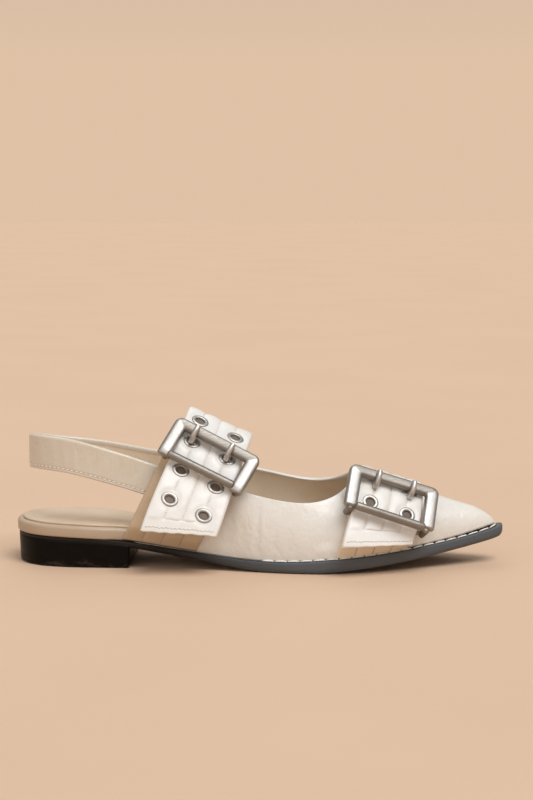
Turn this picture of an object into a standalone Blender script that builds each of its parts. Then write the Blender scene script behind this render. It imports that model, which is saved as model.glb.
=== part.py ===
"""Pointed slingback flat for the right foot, with two quilted buckle straps.

Lengths in the tables are millimetres.  "along" runs from the back of the heel to the
tip of the toe, y runs from lateral (minus) to medial (plus), z up from the floor.
place() turns them into metres about the middle of the shoe's box.
"""
from collections import namedtuple
from math import pi

import bmesh
import bpy
import numpy as np
from mathutils import Matrix, Vector

# Driving dimensions
MM = 0.001
LENGTH = 268.0
GAP = 0.3
LATERAL = -1
MEDIAL = 1
BOX_MIDDLE = (133.55, -6.87, 0.0)

# Outline of the outsole's edge, seen from above
Plan = namedtuple("Plan", "along lateral medial")
PLAN = [
    Plan(0.0, 0.0, 0.0),
    Plan(2.6, 11.5, 11.5),
    Plan(11.0, 21.5, 21.0),
    Plan(25.0, 27.3, 26.6),
    Plan(45.0, 29.2, 27.6),
    Plan(68.0, 29.8, 24.8),
    Plan(92.0, 31.0, 22.0),
    Plan(118.0, 34.8, 25.0),
    Plan(145.0, 40.2, 33.2),
    Plan(168.0, 42.5, 38.6),
    Plan(186.0, 40.6, 38.0),
    Plan(206.0, 34.4, 32.8),
    Plan(226.0, 25.4, 24.4),
    Plan(244.0, 16.4, 16.0),
    Plan(258.0, 9.6, 9.5),
    Plan(265.4, 6.2, 6.2),
    Plan(267.8, 3.4, 3.4),
    Plan(LENGTH, 0.0, 0.0),
]

# Outsole seen from the side: height of its upper face, and its thickness
Tread = namedtuple("Tread", "along top thickness")
TREAD = [
    Tread(0.0, 17.0, 3.2),
    Tread(30.0, 16.5, 3.2),
    Tread(58.0, 14.9, 3.2),
    Tread(80.0, 11.8, 3.3),
    Tread(100.0, 9.1, 3.9),
    Tread(120.0, 6.7, 4.8),
    Tread(140.0, 5.6, 5.9),
    Tread(160.0, 6.3, 6.7),
    Tread(180.0, 7.9, 6.9),
    Tread(200.0, 9.6, 6.6),
    Tread(222.0, 12.0, 6.1),
    Tread(244.0, 15.2, 5.7),
    Tread(260.0, 18.6, 5.9),
    Tread(LENGTH, 20.9, 6.0),
]
EDGE_BEVEL = 1.3
EDGE_LIP = 0.5

# How far the outsole's edge stands out past the foot of the upper
Ledge = namedtuple("Ledge", "along width")
LEDGE = [
    Ledge(0.0, 3.1),
    Ledge(120.0, 3.0),
    Ledge(180.0, 2.7),
    Ledge(235.0, 2.8),
    Ledge(258.0, 3.8),
    Ledge(LENGTH, 5.6),
]

# Heel block
HEEL_BREAST = 62.5
HEEL_TAPER = 0.9
HEEL_INSET = 0.6
HEEL_ROUND = 1.2

# Wrapped footbed: edge measured in from the outsole's edge, and thickness
Bed = namedtuple("Bed", "along inset thickness")
BED = [
    Bed(0.0, -0.9, 6.4),
    Bed(36.0, -0.9, 6.1),
    Bed(49.0, -0.4, 6.2),
    Bed(59.0, 2.9, 6.3),
    Bed(68.0, 5.6, 6.0),
    Bed(90.0, 5.7, 5.0),
    Bed(125.0, 5.5, 3.9),
    Bed(180.0, 5.2, 3.2),
    Bed(LENGTH, 5.8, 3.0),
]
BED_NOSE = 236.0
BED_TIP = 255.0
BED_SHOULDER = 2.4
SOCK_INSET = 3.2
SOCK_THICKNESS = 1.1

# The last under the upper: rise of its ridge over the foot of the upper,
# how far each side swells, and how sharp the ridge is
Last = namedtuple("Last", "along rise ridge_y swell_lateral swell_medial peak")
LAST = [
    Last(40.0, 82.0, 0.0, 4.6, 6.5, 1.0),
    Last(80.0, 73.5, 0.0, 4.6, 7.0, 1.0),
    Last(105.0, 66.8, 0.0, 4.4, 7.0, 1.0),
    Last(130.0, 59.6, 0.5, 4.0, 5.4, 1.02),
    Last(160.0, 49.6, 0.8, 3.8, 3.6, 1.08),
    Last(185.0, 41.4, 0.8, 3.2, 3.0, 1.12),
    Last(210.0, 32.0, 0.6, 2.0, 1.8, 1.12),
    Last(232.0, 22.7, 0.3, 1.0, 1.0, 1.08),
    Last(250.0, 14.3, 0.0, 0.5, 0.5, 1.02),
    Last(LENGTH, 6.2, 0.0, 0.2, 0.2, 1.0),
]
NOSE = 14.0

# Upper: wall, and its top edge from the throat backwards
UPPER_WALL = 1.8
UPPER_LIFT = 0.45
TIP_LIFT = 0.4
THROAT = 186.0
Edge = namedtuple("Edge", "along height")
TOPLINE = {
    LATERAL: [
        Edge(181.0, 43.2),
        Edge(175.0, 40.1),
        Edge(165.0, 37.5),
        Edge(153.0, 37.4),
        Edge(138.0, 39.6),
        Edge(122.0, 43.3),
        Edge(105.0, 48.5),
        Edge(86.0, 55.0),
    ],
    MEDIAL: [
        Edge(182.5, 46.0),
        Edge(177.0, 43.2),
        Edge(167.0, 41.2),
        Edge(155.0, 42.2),
        Edge(140.0, 45.6),
        Edge(122.0, 49.4),
        Edge(105.0, 53.0),
        Edge(86.0, 57.0),
    ],
}
QUARTER_FOOT = 66.0
UPPER_COLUMNS = 32
UPPER_ROWS = 10

# Slingback, from its lateral end round the heel: place at mid height, lower edge, height,
# and how far its upper edge leans in
Sling = namedtuple("Sling", "along y lower height lean")
SLING = [
    Sling(92.0, -23.0, 34.0, 17.5, 3.0),
    Sling(80.0, -23.4, 37.2, 18.0, 2.9),
    Sling(65.0, -24.9, 42.2, 18.4, 1.6),
    Sling(48.0, -24.9, 47.0, 18.7, 0.8),
    Sling(33.0, -22.6, 50.4, 19.0, 0.4),
    Sling(20.0, -18.0, 51.8, 18.9, 0.0),
    Sling(10.5, -10.5, 51.8, 18.8, 0.0),
    Sling(7.0, 0.0, 51.0, 18.5, 0.0),
    Sling(10.5, 10.5, 49.6, 18.5, 0.0),
    Sling(20.0, 17.5, 47.8, 18.4, 0.0),
    Sling(33.0, 21.2, 46.0, 18.4, 0.4),
    Sling(48.0, 22.2, 44.0, 18.4, 0.8),
    Sling(65.0, 20.8, 41.4, 18.2, 1.4),
    Sling(80.0, 18.9, 39.4, 18.0, 1.8),
    Sling(92.0, 17.7, 37.6, 17.5, 1.8),
]
SLING_THICKNESS = 2.4
SLING_STEPS = 38

# Straps and bands lie on the last.  start is where the middle line meets the floor, lean
# is its slope towards the toe in degrees, and around runs from -1 at the lateral foot of
# the upper over the ridge at 0 to 1 at the medial foot
# slant is how much lower round the last a line square to the band lies for each mm forward
Band = namedtuple("Band", "name start lean width thickness slant")
INSTEP_BASE = Band("instep_base_band", 74.2, 26.0, 39.0, 2.4, -0.0017)
INSTEP_STRAP = Band("instep_strap", 86.5, 18.5, 38.2, 2.6, -0.0017)
TOE_BASE = Band("toe_base_band", 192.8, 15.6, 36.0, 2.4, -0.0044)
TOE_STRAP = Band("toe_strap", 193.0, 15.6, 35.4, 2.6, -0.0044)
BAND_FOOT = -0.996
STRAP_FOOT = 0.99
BAND_SHORT = 0.06

# How far the inner face of a strap is lifted off the last on its way round
Lift = namedtuple("Lift", "around height")
INSTEP_LIFT = [
    Lift(-0.95, 25.0),
    Lift(-0.87, 21.0),
    Lift(-0.76, 15.2),
    Lift(-0.67, 10.6),
    Lift(-0.57, 6.9),
    Lift(-0.49, 5.4),
    Lift(-0.41, 3.2),
    Lift(-0.34, 1.8),
    Lift(-0.20, 0.9),
    Lift(0.0, 0.6),
    Lift(0.5, 0.5),
    Lift(1.0, 0.5),
]
TOE_LIFT = [
    Lift(-0.95, 11.0),
    Lift(-0.85, 9.0),
    Lift(-0.78, 7.9),
    Lift(-0.70, 7.0),
    Lift(-0.60, 6.1),
    Lift(-0.45, 4.1),
    Lift(-0.30, 2.6),
    Lift(-0.10, 1.0),
    Lift(0.1, 0.6),
    Lift(0.5, 0.5),
    Lift(1.0, 0.5),
]
BRIDGE = 0.11

# Free ends: height of the end's rear and front corner over the floor
FreeEnd = namedtuple("FreeEnd", "rear front")
INSTEP_END = FreeEnd(27.8, 22.5)
TOE_END = FreeEnd(18.7, 17.5)

# Eyelet rows, by their place round the last
INSTEP_ROWS = [-0.198, -0.416, -0.609, -0.758]
TOE_ROWS = [-0.385, -0.622]
EYELET_SPACING = {"instep_strap": 21.2, "toe_strap": 19.6}
EYELET_RADIUS = 4.9
EYELET_HOLE = 2.6
EYELET_BARREL = 2.95
EYELET_SIDES = 12

# Buckles: the thin lower bar and the thick upper bar, round the last and lifted off it
Buckle = namedtuple("Buckle", "name low low_lift high high_lift twist arm_end pinned_row")
INSTEP_BUCKLE = Buckle("instep_buckle", -0.558, 11.8, -0.366, 10.6, -7.0, 2.8, 1)
TOE_BUCKLE = Buckle("toe_buckle", -0.692, 12.0, -0.405, 12.8, 0.0, 1.4, 0)
BUCKLE_WIDTH = 51.2
BUCKLE_ARM = 5.8
BUCKLE_HEIGHT = 4.2
BUCKLE_CORNER = 5.0
LOWER_BAR_RADIUS = 1.7
HINGE_BAR_RADIUS = 1.3
HINGE_DROP = 7.5
EAR_RADIUS = 1.0
PRONG_RADIUS = 1.1
PRONG_END = 1.7

# Colours: base colour, roughness, metallic
Finish = namedtuple("Finish", "colour roughness metallic")
IVORY = Finish((0.80, 0.75, 0.66, 1.0), 0.45, 0.0)
LINING = Finish((0.62, 0.52, 0.41, 1.0), 0.6, 0.0)
BLACK = Finish((0.02, 0.02, 0.022, 1.0), 0.4, 0.0)
NICKEL = Finish((0.50, 0.47, 0.43, 1.0), 0.35, 1.0)


def clear_scene():
    for old in list(bpy.data.objects):
        bpy.data.objects.remove(old, do_unlink=True)


def spline(knots, values):
    """Natural cubic spline through the values, as a function."""
    knots = np.asarray(knots, float)
    values = np.asarray(values, float)
    step = np.diff(knots)
    slope = np.diff(values) / step
    size = len(knots)
    system = np.eye(size)
    bend = np.zeros(size)
    for i in range(1, size - 1):
        system[i, i - 1] = step[i - 1]
        system[i, i] = 2.0 * (step[i - 1] + step[i])
        system[i, i + 1] = step[i]
        bend[i] = 6.0 * (slope[i] - slope[i - 1])
    second = np.linalg.solve(system, bend)

    def value(at):
        at = np.clip(np.asarray(at, float), knots[0], knots[-1])
        i = np.clip(np.searchsorted(knots, at) - 1, 0, size - 2)
        before = knots[i + 1] - at
        after = at - knots[i]
        cubic = second[i] * before**3 + second[i + 1] * after**3
        left = values[i] / step[i] - second[i] * step[i] / 6.0
        right = values[i + 1] / step[i] - second[i + 1] * step[i] / 6.0
        return cubic / (6.0 * step[i]) + left * before + right * after

    return value


def column(table, name):
    """One column of a table as a smooth function of the distance along the shoe."""
    return spline([row.along for row in table], [getattr(row, name) for row in table])


def path_through(points, count, spread=None):
    """Points spaced along a smooth curve through the given points."""
    points = np.asarray(points, float)
    chord = np.r_[0.0, np.cumsum(np.linalg.norm(np.diff(points, axis=0), axis=1))]
    curves = [spline(chord, points[:, k]) for k in range(points.shape[1])]
    fine = np.linspace(0.0, chord[-1], 1500)
    dense = np.stack([curve(fine) for curve in curves], axis=1)
    length = np.r_[0.0, np.cumsum(np.linalg.norm(np.diff(dense, axis=0), axis=1))]
    share = np.linspace(0.0, 1.0, count) if spread is None else spread
    return np.stack([np.interp(share * length[-1], length, dense[:, k])
                     for k in range(points.shape[1])], axis=1)


def crowded_ends(count, amount=0.55):
    """Shares from 0 to 1 that lie closer together towards both ends."""
    even = np.linspace(0.0, 1.0, count)
    return (1.0 - amount) * even + amount * 0.5 * (1.0 - np.cos(pi * even))


def plan_side(side, count):
    """Outsole edge on one side, from the heel's back to the toe's tip."""
    rows = [(row.along, side * (row.lateral if side == LATERAL else row.medial)) for row in PLAN]
    mirrored_heel = [(along, -y) for along, y in rows[3:0:-1]]
    mirrored_toe = [(along, -y) for along, y in rows[-2:-5:-1]]
    dense = path_through(mirrored_heel + rows + mirrored_toe, 3000)
    inside = dense[dense[:, 1] * side >= 0.0]
    length = np.r_[0.0, np.cumsum(np.linalg.norm(np.diff(inside, axis=0), axis=1))]
    share = crowded_ends(count) * length[-1]
    points = np.stack([np.interp(share, length, inside[:, k]) for k in (0, 1)], axis=1)
    points[0, 1] = 0.0
    points[-1, 1] = 0.0
    return points


def outline(inset, half_count=44):
    """Closed loop (heel back, lateral, toe tip, medial) set in from the outsole's edge."""
    lateral = plan_side(LATERAL, half_count + 1)
    medial = plan_side(MEDIAL, half_count + 1)
    loop = np.concatenate([lateral, medial[-2:0:-1]])
    tangent = np.roll(loop, -1, axis=0) - np.roll(loop, 1, axis=0)
    tangent /= np.linalg.norm(tangent, axis=1)[:, None]
    inward = np.stack([-tangent[:, 1], tangent[:, 0]], axis=1)
    depth = inset(loop[:, 0]) if callable(inset) else np.full(len(loop), inset)
    return loop + inward * depth[:, None]


tread_top = column(TREAD, "top")
tread_thickness = column(TREAD, "thickness")
ledge_width = column(LEDGE, "width")
bed_inset = column(BED, "inset")
bed_thickness = column(BED, "thickness")
last_rise = column(LAST, "rise")
last_ridge_y = column(LAST, "ridge_y")
last_peak = column(LAST, "peak")
last_swell = {LATERAL: column(LAST, "swell_lateral"), MEDIAL: column(LAST, "swell_medial")}


def tread_bottom(along):
    return np.maximum(tread_top(along) - tread_thickness(along), 0.0)


def feather(along):
    """Height of the foot of the upper, a little clear of the outsole at the toe's point."""
    return tread_top(along) + UPPER_LIFT + TIP_LIFT * np.clip((along - TIP) / NOSE + 1.0, 0.0, 1.0)**4


FEATHER_LOOP = outline(ledge_width, 600)
TIP = FEATHER_LOOP[:, 0].max()


def feather_half(along, side):
    """Half width of the upper at its foot."""
    edge = FEATHER_LOOP[FEATHER_LOOP[:, 1] * side >= 0.0]
    edge = edge[np.argsort(edge[:, 0])]
    return np.interp(along, edge[:, 0], np.abs(edge[:, 1]))


def ridge_rise(along):
    """Height of the ridge over the foot of the upper, rounded off at the toe."""
    into_nose = np.clip((along - (TIP - NOSE)) / NOSE, 0.0, 1.0)
    return last_rise(along) * np.sqrt(1.0 - into_nose**2)


def last_point(along, climb, side):
    """Point of the last: climb runs from 0 at the foot of the upper to 1 on the ridge."""
    turn = 0.5 * pi * np.clip(climb, 0.0, 1.0)
    reach = np.cos(turn)**last_peak(along)
    half = feather_half(along, side)
    round_toe = np.clip(half / 12.0, 0.0, 1.0)
    swell = last_swell[side](along) * round_toe * np.sin(2.0 * turn) * (1.0 - 0.35 * climb)
    ridge = last_ridge_y(along) * round_toe
    y = ridge * (1.0 - reach) + side * (half * reach + swell)
    z = feather(along) + ridge_rise(along) * np.sin(turn)
    return np.stack([np.broadcast_to(along, y.shape), y, z], axis=-1)


def climb_to(along, height):
    """The climb at which the last reaches a height."""
    share = (height - feather(along)) / ridge_rise(along)
    return np.arcsin(np.clip(share, 0.0, 1.0)) / (0.5 * pi)


def girth(along, side):
    return np.hypot(feather_half(along, side), ridge_rise(along))


def upper_side(side):
    """Grid of the upper's outer face on one side: columns from toe to heel, rows upwards."""
    across = np.linspace(0.0, 1.0, UPPER_COLUMNS + 1)
    up = np.linspace(0.0, 1.0, UPPER_ROWS + 1)

    edge = FEATHER_LOOP[(FEATHER_LOOP[:, 1] * side >= 0.0) & (FEATHER_LOOP[:, 0] >= QUARTER_FOOT)]
    edge = edge[np.argsort(-edge[:, 0])]
    run = np.r_[0.0, np.cumsum(np.linalg.norm(np.diff(edge, axis=0), axis=1))]
    share = 0.35 * across**2 + 0.65 * across
    foot_along = np.interp(share * run[-1], run, edge[:, 0])
    foot_along[0] = TIP
    foot = np.stack([foot_along, girth(foot_along, side)], axis=1)

    rows = TOPLINE[side]
    top_along = np.array([row.along for row in rows])
    top_climb = climb_to(top_along, np.array([row.height for row in rows]))
    open_edge = np.stack([top_along, (1.0 - top_climb) * girth(top_along, side)], axis=1)
    mirrored = open_edge[1::-1] * (1.0, -1.0)
    dense = path_through(np.concatenate([mirrored, [(THROAT, 0.0)], open_edge]), 1200)
    dense = dense[dense[:, 1] >= 0.0]
    top = path_through(dense[::8], UPPER_COLUMNS + 1)
    top[0] = (THROAT, 0.0)

    ridge_along = TIP + (THROAT - TIP) * (0.45 * up**2 + 0.55 * up)
    ridge = np.stack([ridge_along, np.zeros_like(up)], axis=1)
    back = foot[-1] + (top[-1] - foot[-1]) * up[:, None]

    s = across[:, None, None]
    t = up[None, :, None]
    ruled = (1 - t) * foot[:, None] + t * top[:, None] + (1 - s) * ridge[None] + s * back[None]
    corners = ((1 - s) * (1 - t) * foot[0] + s * (1 - t) * foot[-1]
               + (1 - s) * t * top[0] + s * t * top[-1])
    flat = ruled - corners
    along = np.minimum(flat[..., 0], TIP)
    climb = 1.0 - flat[..., 1] / np.maximum(girth(along, side), 1e-6)
    points = last_point(along, climb, side)
    points[0] = last_point(ridge_along, np.ones_like(up), side)
    points[0, 0] = last_point(np.array([TIP]), np.zeros(1), side)[0]
    return points


def place(points):
    """Millimetres along the shoe to metres about the middle of its box."""
    points = np.asarray(points, float).reshape(-1, 3)
    return (points - BOX_MIDDLE) * MM


def material(name, finish):
    found = bpy.data.materials.get(name)
    if found:
        return found
    made = bpy.data.materials.new(name)
    made.use_nodes = True
    shader = made.node_tree.nodes["Principled BSDF"]
    shader.inputs["Base Color"].default_value = finish.colour
    shader.inputs["Roughness"].default_value = finish.roughness
    shader.inputs["Metallic"].default_value = finish.metallic
    return made


def add_solid(name, points, faces, look):
    """A mesh object from points in millimetres, with its faces turned outwards."""
    mesh = bpy.data.meshes.new(name)
    mesh.from_pydata([tuple(p) for p in place(points)], [], faces)
    work = bmesh.new()
    work.from_mesh(mesh)
    bmesh.ops.remove_doubles(work, verts=work.verts, dist=1e-6)
    bmesh.ops.recalc_face_normals(work, faces=work.faces)
    work.to_mesh(mesh)
    work.free()
    mesh.shade_smooth()
    mesh.set_sharp_from_angle(angle=0.6)
    mesh.materials.append(material(*look))
    made = bpy.data.objects.new(name, mesh)
    bpy.context.scene.collection.objects.link(made)
    return made


def stacked_loops(name, loops, look):
    """Solid from closed loops of equal count, lowest first, filled straight across."""
    count = len(loops[0])
    faces = []
    for level in range(len(loops) - 1):
        low = level * count
        for i in range(count):
            j = (i + 1) % count
            faces.append((low + i, low + j, low + count + j, low + count + i))
    for base in (0, (len(loops) - 1) * count):
        for i in range(count // 2):
            ring = [i, i + 1, count - i - 1, (count - i) % count]
            faces.append([base + k for k in dict.fromkeys(ring)])
    return add_solid(name, np.concatenate(loops), faces, look)


def level(loop, height):
    """A plan loop lifted to a height that depends on the distance along."""
    return np.column_stack([loop, height(loop[:, 0])])


def build_outsole():
    def lip(share):
        return lambda along: tread_bottom(along) + share * (tread_top(along) - tread_bottom(along))

    loops = [
        level(outline(EDGE_BEVEL), tread_bottom),
        level(outline(0.0), lip(0.45)),
        level(outline(0.0), lambda along: tread_top(along) - EDGE_LIP),
        level(outline(EDGE_LIP), tread_top),
    ]
    return stacked_loops("outsole", loops, ("sole_black", BLACK))


def build_heel():
    def heel_loop(inset):
        edge = outline(0.0)
        keep = edge[:, 0] < HEEL_BREAST - 2.0
        half = len(edge) // 2
        loop = outline(inset)
        lateral = loop[:half][keep[:half]]
        medial = loop[half:][keep[half:]]
        sides = [side * (abs(np.interp(HEEL_BREAST, *plan_side(side, 200).T)) - inset)
                 for side in (LATERAL, MEDIAL)]
        breast = [(HEEL_BREAST - inset, y) for y in sides]
        return np.concatenate([lateral, breast, medial])

    def flat(height):
        return lambda along: np.full_like(along, height)

    loops = [
        level(heel_loop(HEEL_INSET + HEEL_TAPER + HEEL_ROUND), flat(0.0)),
        level(heel_loop(HEEL_INSET + HEEL_TAPER), flat(HEEL_ROUND)),
        level(heel_loop(HEEL_INSET), lambda along: tread_bottom(along) - GAP),
    ]
    return stacked_loops("heel", loops, ("heel_black", BLACK))


def bed_top(along):
    return tread_top(along) + GAP + bed_thickness(along)


def bed_outline(inset):
    """Edge of the footbed, set in further and ending in a blunt point short of the toe."""
    loop = outline(lambda along: bed_inset(along) + inset)
    edge = outline(0.0)[:, 0]
    half = len(loop) // 2
    for side in (slice(0, half + 1), slice(half, None)):
        points = loop[side]
        order = np.argsort(edge[side])
        start = [np.interp(BED_NOSE, edge[side][order], points[order, k]) for k in (0, 1)]
        share = np.clip((edge[side] - BED_NOSE) / (LENGTH - BED_NOSE), 0.0, 1.0)
        nose = share > 0.0
        tip = BED_TIP - 1.5 * inset
        points[nose, 0] = start[0] + (tip - start[0]) * share[nose]
        points[nose, 1] = start[1] * (1.0 - share[nose]**1.5)
    return loop


def build_footbed():
    shoulder = BED_SHOULDER
    loops = [
        level(bed_outline(0.7), lambda along: tread_top(along) + GAP),
        level(bed_outline(0.0), lambda along: tread_top(along) + GAP + 0.7),
        level(bed_outline(0.0), lambda along: bed_top(along) - 0.75 * shoulder),
        level(bed_outline(0.3 * shoulder), lambda along: bed_top(along) - 0.22 * shoulder),
        level(bed_outline(shoulder), bed_top),
    ]
    return stacked_loops("footbed", loops, ("footbed_ivory", IVORY))


def build_sock():
    def top(along):
        return bed_top(along) + GAP + SOCK_THICKNESS

    loops = [
        level(bed_outline(SOCK_INSET), lambda along: bed_top(along) + GAP),
        level(bed_outline(SOCK_INSET), lambda along: top(along) - 0.4),
        level(bed_outline(SOCK_INSET + 0.6), top),
    ]
    return stacked_loops("insole_sock", loops, ("sock_lining", LINING))


def build_upper():
    lateral = upper_side(LATERAL)
    medial = upper_side(MEDIAL)
    grid = np.concatenate([lateral[::-1], medial[1:]])
    columns, rows = grid.shape[:2]
    faces = []
    for i in range(columns - 1):
        for j in range(rows - 1):
            corner = i * rows + j
            faces.append((corner, corner + 1, corner + rows + 1, corner + rows))
    upper = add_solid("upper", grid.reshape(-1, 3), faces, ("upper_ivory", IVORY))
    if upper.data.polygons[0].normal.y > 0:
        upper.data.flip_normals()
    wall = upper.modifiers.new("wall", "SOLIDIFY")
    wall.thickness = UPPER_WALL * MM
    wall.offset = -1.0
    wall.use_quality_normals = True
    return upper


def swept(name, rings, count, look):
    """Solid from rings of equal count, one after another, closed at both ends."""
    steps = len(rings) // count - 1
    faces = [tuple(range(count)), tuple(steps * count + k for k in range(count))]
    for i in range(steps):
        for k in range(count):
            a = i * count + k
            b = i * count + (k + 1) % count
            faces.append((a, b, b + count, a + count))
    return add_solid(name, rings, faces, look)


def build_sling():
    rows = [(row.along, row.y, row.lower, row.height, row.lean) for row in SLING]
    path = path_through(rows, SLING_STEPS + 1)
    tangent = np.gradient(path[:, :2], axis=0)
    tangent /= np.linalg.norm(tangent, axis=1)[:, None]
    outward = np.stack([-tangent[:, 1], tangent[:, 0]], axis=1)
    half = SLING_THICKNESS / 2
    soft = SLING_THICKNESS / 4
    Corner = namedtuple("Corner", "out from_lower from_upper")
    section = [
        Corner(half - soft, 0.0, None),
        Corner(half, soft, None),
        Corner(half, None, soft),
        Corner(half - soft, None, 0.0),
        Corner(soft - half, None, 0.0),
        Corner(-half, None, soft),
        Corner(-half, soft, None),
        Corner(soft - half, 0.0, None),
    ]
    rings = []
    for (along, y, lower, height, lean), (out_along, out_y) in zip(path, outward):
        for corner in section:
            rise = corner.from_lower if corner.from_upper is None else height - corner.from_upper
            out = corner.out - lean * (rise / height - 0.5)
            rings.append((along + out_along * out, y + out_y * out, lower + rise))
    return swept("slingback_strap", rings, len(section), ("sling_ivory", IVORY))


def around_last(along, around):
    """Point of the last at a place round it, on whichever side that is."""
    climb = 1.0 - np.abs(around)
    lateral = last_point(along, climb, LATERAL)
    medial = last_point(along, climb, MEDIAL)
    return np.where((np.asarray(around) < 0.0)[..., None], lateral, medial)


def slanted(band, across, around):
    """Place round the last of a line that crosses the band squarely."""
    side = np.clip(np.asarray(around, float) / 0.4, -1.0, 1.0)
    return around - side * band.slant * across


def on_band(band, across, around):
    """Point of the last under a band: across is measured from its middle line."""
    slope = np.tan(np.radians(band.lean))
    across, around = np.broadcast_arrays(np.asarray(across, float), np.asarray(around, float))
    around = slanted(band, across, around)
    base = band.start + across / np.cos(np.radians(band.lean))
    along = base + 40.0 * slope
    for _ in range(30):
        along = base + slope * around_last(along, around)[..., 2]
    return around_last(along, around)


def band_frame(band, across, around):
    """Point, direction across, direction round and outward normal on the last."""
    step_across = 0.5
    step_around = 0.01
    point = on_band(band, across, around)
    over = on_band(band, across + step_across, around) - on_band(band, across - step_across, around)
    rise = on_band(band, across, around + step_around) - on_band(band, across, around - step_around)
    normal = np.cross(over, rise)
    normal /= np.linalg.norm(normal, axis=-1)[..., None]
    return point, over, rise, normal


def lifted(band, across, around, lift):
    point, _, _, normal = band_frame(band, across, around)
    return point + normal * np.asarray(lift, float)[..., None]


def strap_lift(band, table, buckle):
    """Lift of a strap's inner face; it runs straight between the buckle's hinge and lower bar."""
    rest = spline([row.around for row in table], [row.height for row in table])
    low, bar, _, out, _ = buckle_axes(buckle, band)
    places = np.linspace(-band.width / 2, band.width / 2, 9)
    middle = buckle.low - BRIDGE / 4
    point, _, _, normal = band_frame(band, places, np.full_like(places, middle))
    between = low - out * (HINGE_DROP - HINGE_BAR_RADIUS + LOWER_BAR_RADIUS) / 2 + places[:, None] * bar
    height = np.sum((between - point) * normal, axis=1) - band.thickness / 2
    bridge = spline(places, height - rest(middle))

    def lift(across, around):
        near = np.exp(-((around - middle) / BRIDGE)**2)
        return rest(around) + near * bridge(across)

    return lift


def around_at(band, across, height):
    """Place round the lateral side where a band's line passes a height."""
    slope = np.tan(np.radians(band.lean))
    along = band.start + across / np.cos(np.radians(band.lean)) + slope * height
    return climb_to(along, height) - 1.0 - band.slant * across


def band_solid(band, first, last, lift, steps, look):
    """Solid band; first and last give the place round the last at each place across."""
    half = band.width / 2
    soft = band.thickness / 3
    top = band.thickness
    Corner = namedtuple("Corner", "across up")
    outer = [Corner(-half, top - soft), Corner(soft - half, top), Corner(-half / 2, top), Corner(0.0, top),
             Corner(half / 2, top), Corner(half - soft, top), Corner(half, top - soft)]
    inner = [Corner(half, 0.0), Corner(half / 2, 0.0), Corner(0.0, 0.0), Corner(-half / 2, 0.0),
             Corner(-half, 0.0)]
    section = outer + inner
    across = np.array([corner.across for corner in section])
    up = np.array([corner.up for corner in section])
    share = np.linspace(0.0, 1.0, steps + 1)[:, None]
    around = (1.0 - share) * first(across)[None] + share * last(across)[None]
    across = np.broadcast_to(across, around.shape)
    points = lifted(band, across, around, lift(across, around) + up)
    return swept(band.name, points.reshape(-1, 3), len(section), look)


def build_base_band(band, hinge_around):
    def foot(across):
        return BAND_FOOT - band.slant * across

    def top(across):
        return np.full_like(across, hinge_around)

    def lift(across, around):
        return np.full_like(around, GAP)

    return band_solid(band, foot, top, lift, 12, ("band_ivory", IVORY))


def eyelet_places(band, rows, lift):
    """Centre and axis of each eyelet on the strap's outer face."""
    def outer(across, around):
        return lifted(band, across, around, lift(across, around) + band.thickness)

    places = []
    for around in rows:
        for across in (-EYELET_SPACING[band.name] / 2, EYELET_SPACING[band.name] / 2):
            over = outer(across + 2.0, around) - outer(across - 2.0, around)
            rise = outer(across, around + 0.03) - outer(across, around - 0.03)
            axis = np.cross(over, rise)
            places.append((outer(across, around), axis / np.linalg.norm(axis)))
    return places


def turned(profile, centre, axis, sides):
    """Points and faces of a ring turned from (radius, height) corners about an axis."""
    turn = Vector(axis).to_track_quat("Z", "Y").to_matrix()
    points = []
    for k in range(sides):
        angle = 2.0 * pi * k / sides
        for radius, height in profile:
            local = Vector((radius * np.cos(angle), radius * np.sin(angle), height))
            points.append(np.array(centre) + np.array(turn @ local))
    count = len(profile)
    faces = []
    for k in range(sides):
        for i in range(count):
            a = k * count + i
            b = k * count + (i + 1) % count
            ahead = ((k + 1) % sides) * count
            faces.append((a, b, ahead + (i + 1) % count, ahead + i))
    return points, faces


def build_eyelets(band, places):
    profile = [
        (EYELET_HOLE, -band.thickness + 0.2),
        (EYELET_BARREL, -band.thickness + 0.2),
        (EYELET_BARREL, 0.25),
        (EYELET_RADIUS, 0.25),
        (EYELET_RADIUS - 0.6, 0.95),
        (EYELET_HOLE, 0.95),
    ]
    for number, (centre, axis) in enumerate(places, 1):
        points, faces = turned(profile, centre, axis, EYELET_SIDES)
        name = band.name.replace("strap", "eyelet") + "_" + str(number)
        add_solid(name, points, faces, ("eyelet_nickel", NICKEL))


def hide_tool(tool):
    tool.hide_render = True
    tool.display_type = "WIRE"
    return tool


def punch(strap, places):
    """Cut the eyelet holes through a strap."""
    points = []
    faces = []
    for centre, axis in places:
        turn = Vector(axis).to_track_quat("Z", "Y").to_matrix()
        base = len(points)
        for height in (-6.0, 3.0):
            for k in range(EYELET_SIDES):
                angle = 2.0 * pi * k / EYELET_SIDES
                spoke = Vector((np.cos(angle), np.sin(angle), 0.0)) * (EYELET_BARREL + GAP)
                points.append(np.array(centre) + np.array(turn @ (spoke + Vector((0, 0, height)))))
        low = [base + k for k in range(EYELET_SIDES)]
        high = [base + EYELET_SIDES + k for k in range(EYELET_SIDES)]
        faces += [low, high]
        for k in range(EYELET_SIDES):
            j = (k + 1) % EYELET_SIDES
            faces.append((low[k], low[j], high[j], high[k]))
    cutter = hide_tool(add_solid(strap.name + "_punch", points, faces, ("eyelet_nickel", NICKEL)))
    cut = strap.modifiers.new("holes", "BOOLEAN")
    cut.operation = "DIFFERENCE"
    cut.object = cutter


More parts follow.
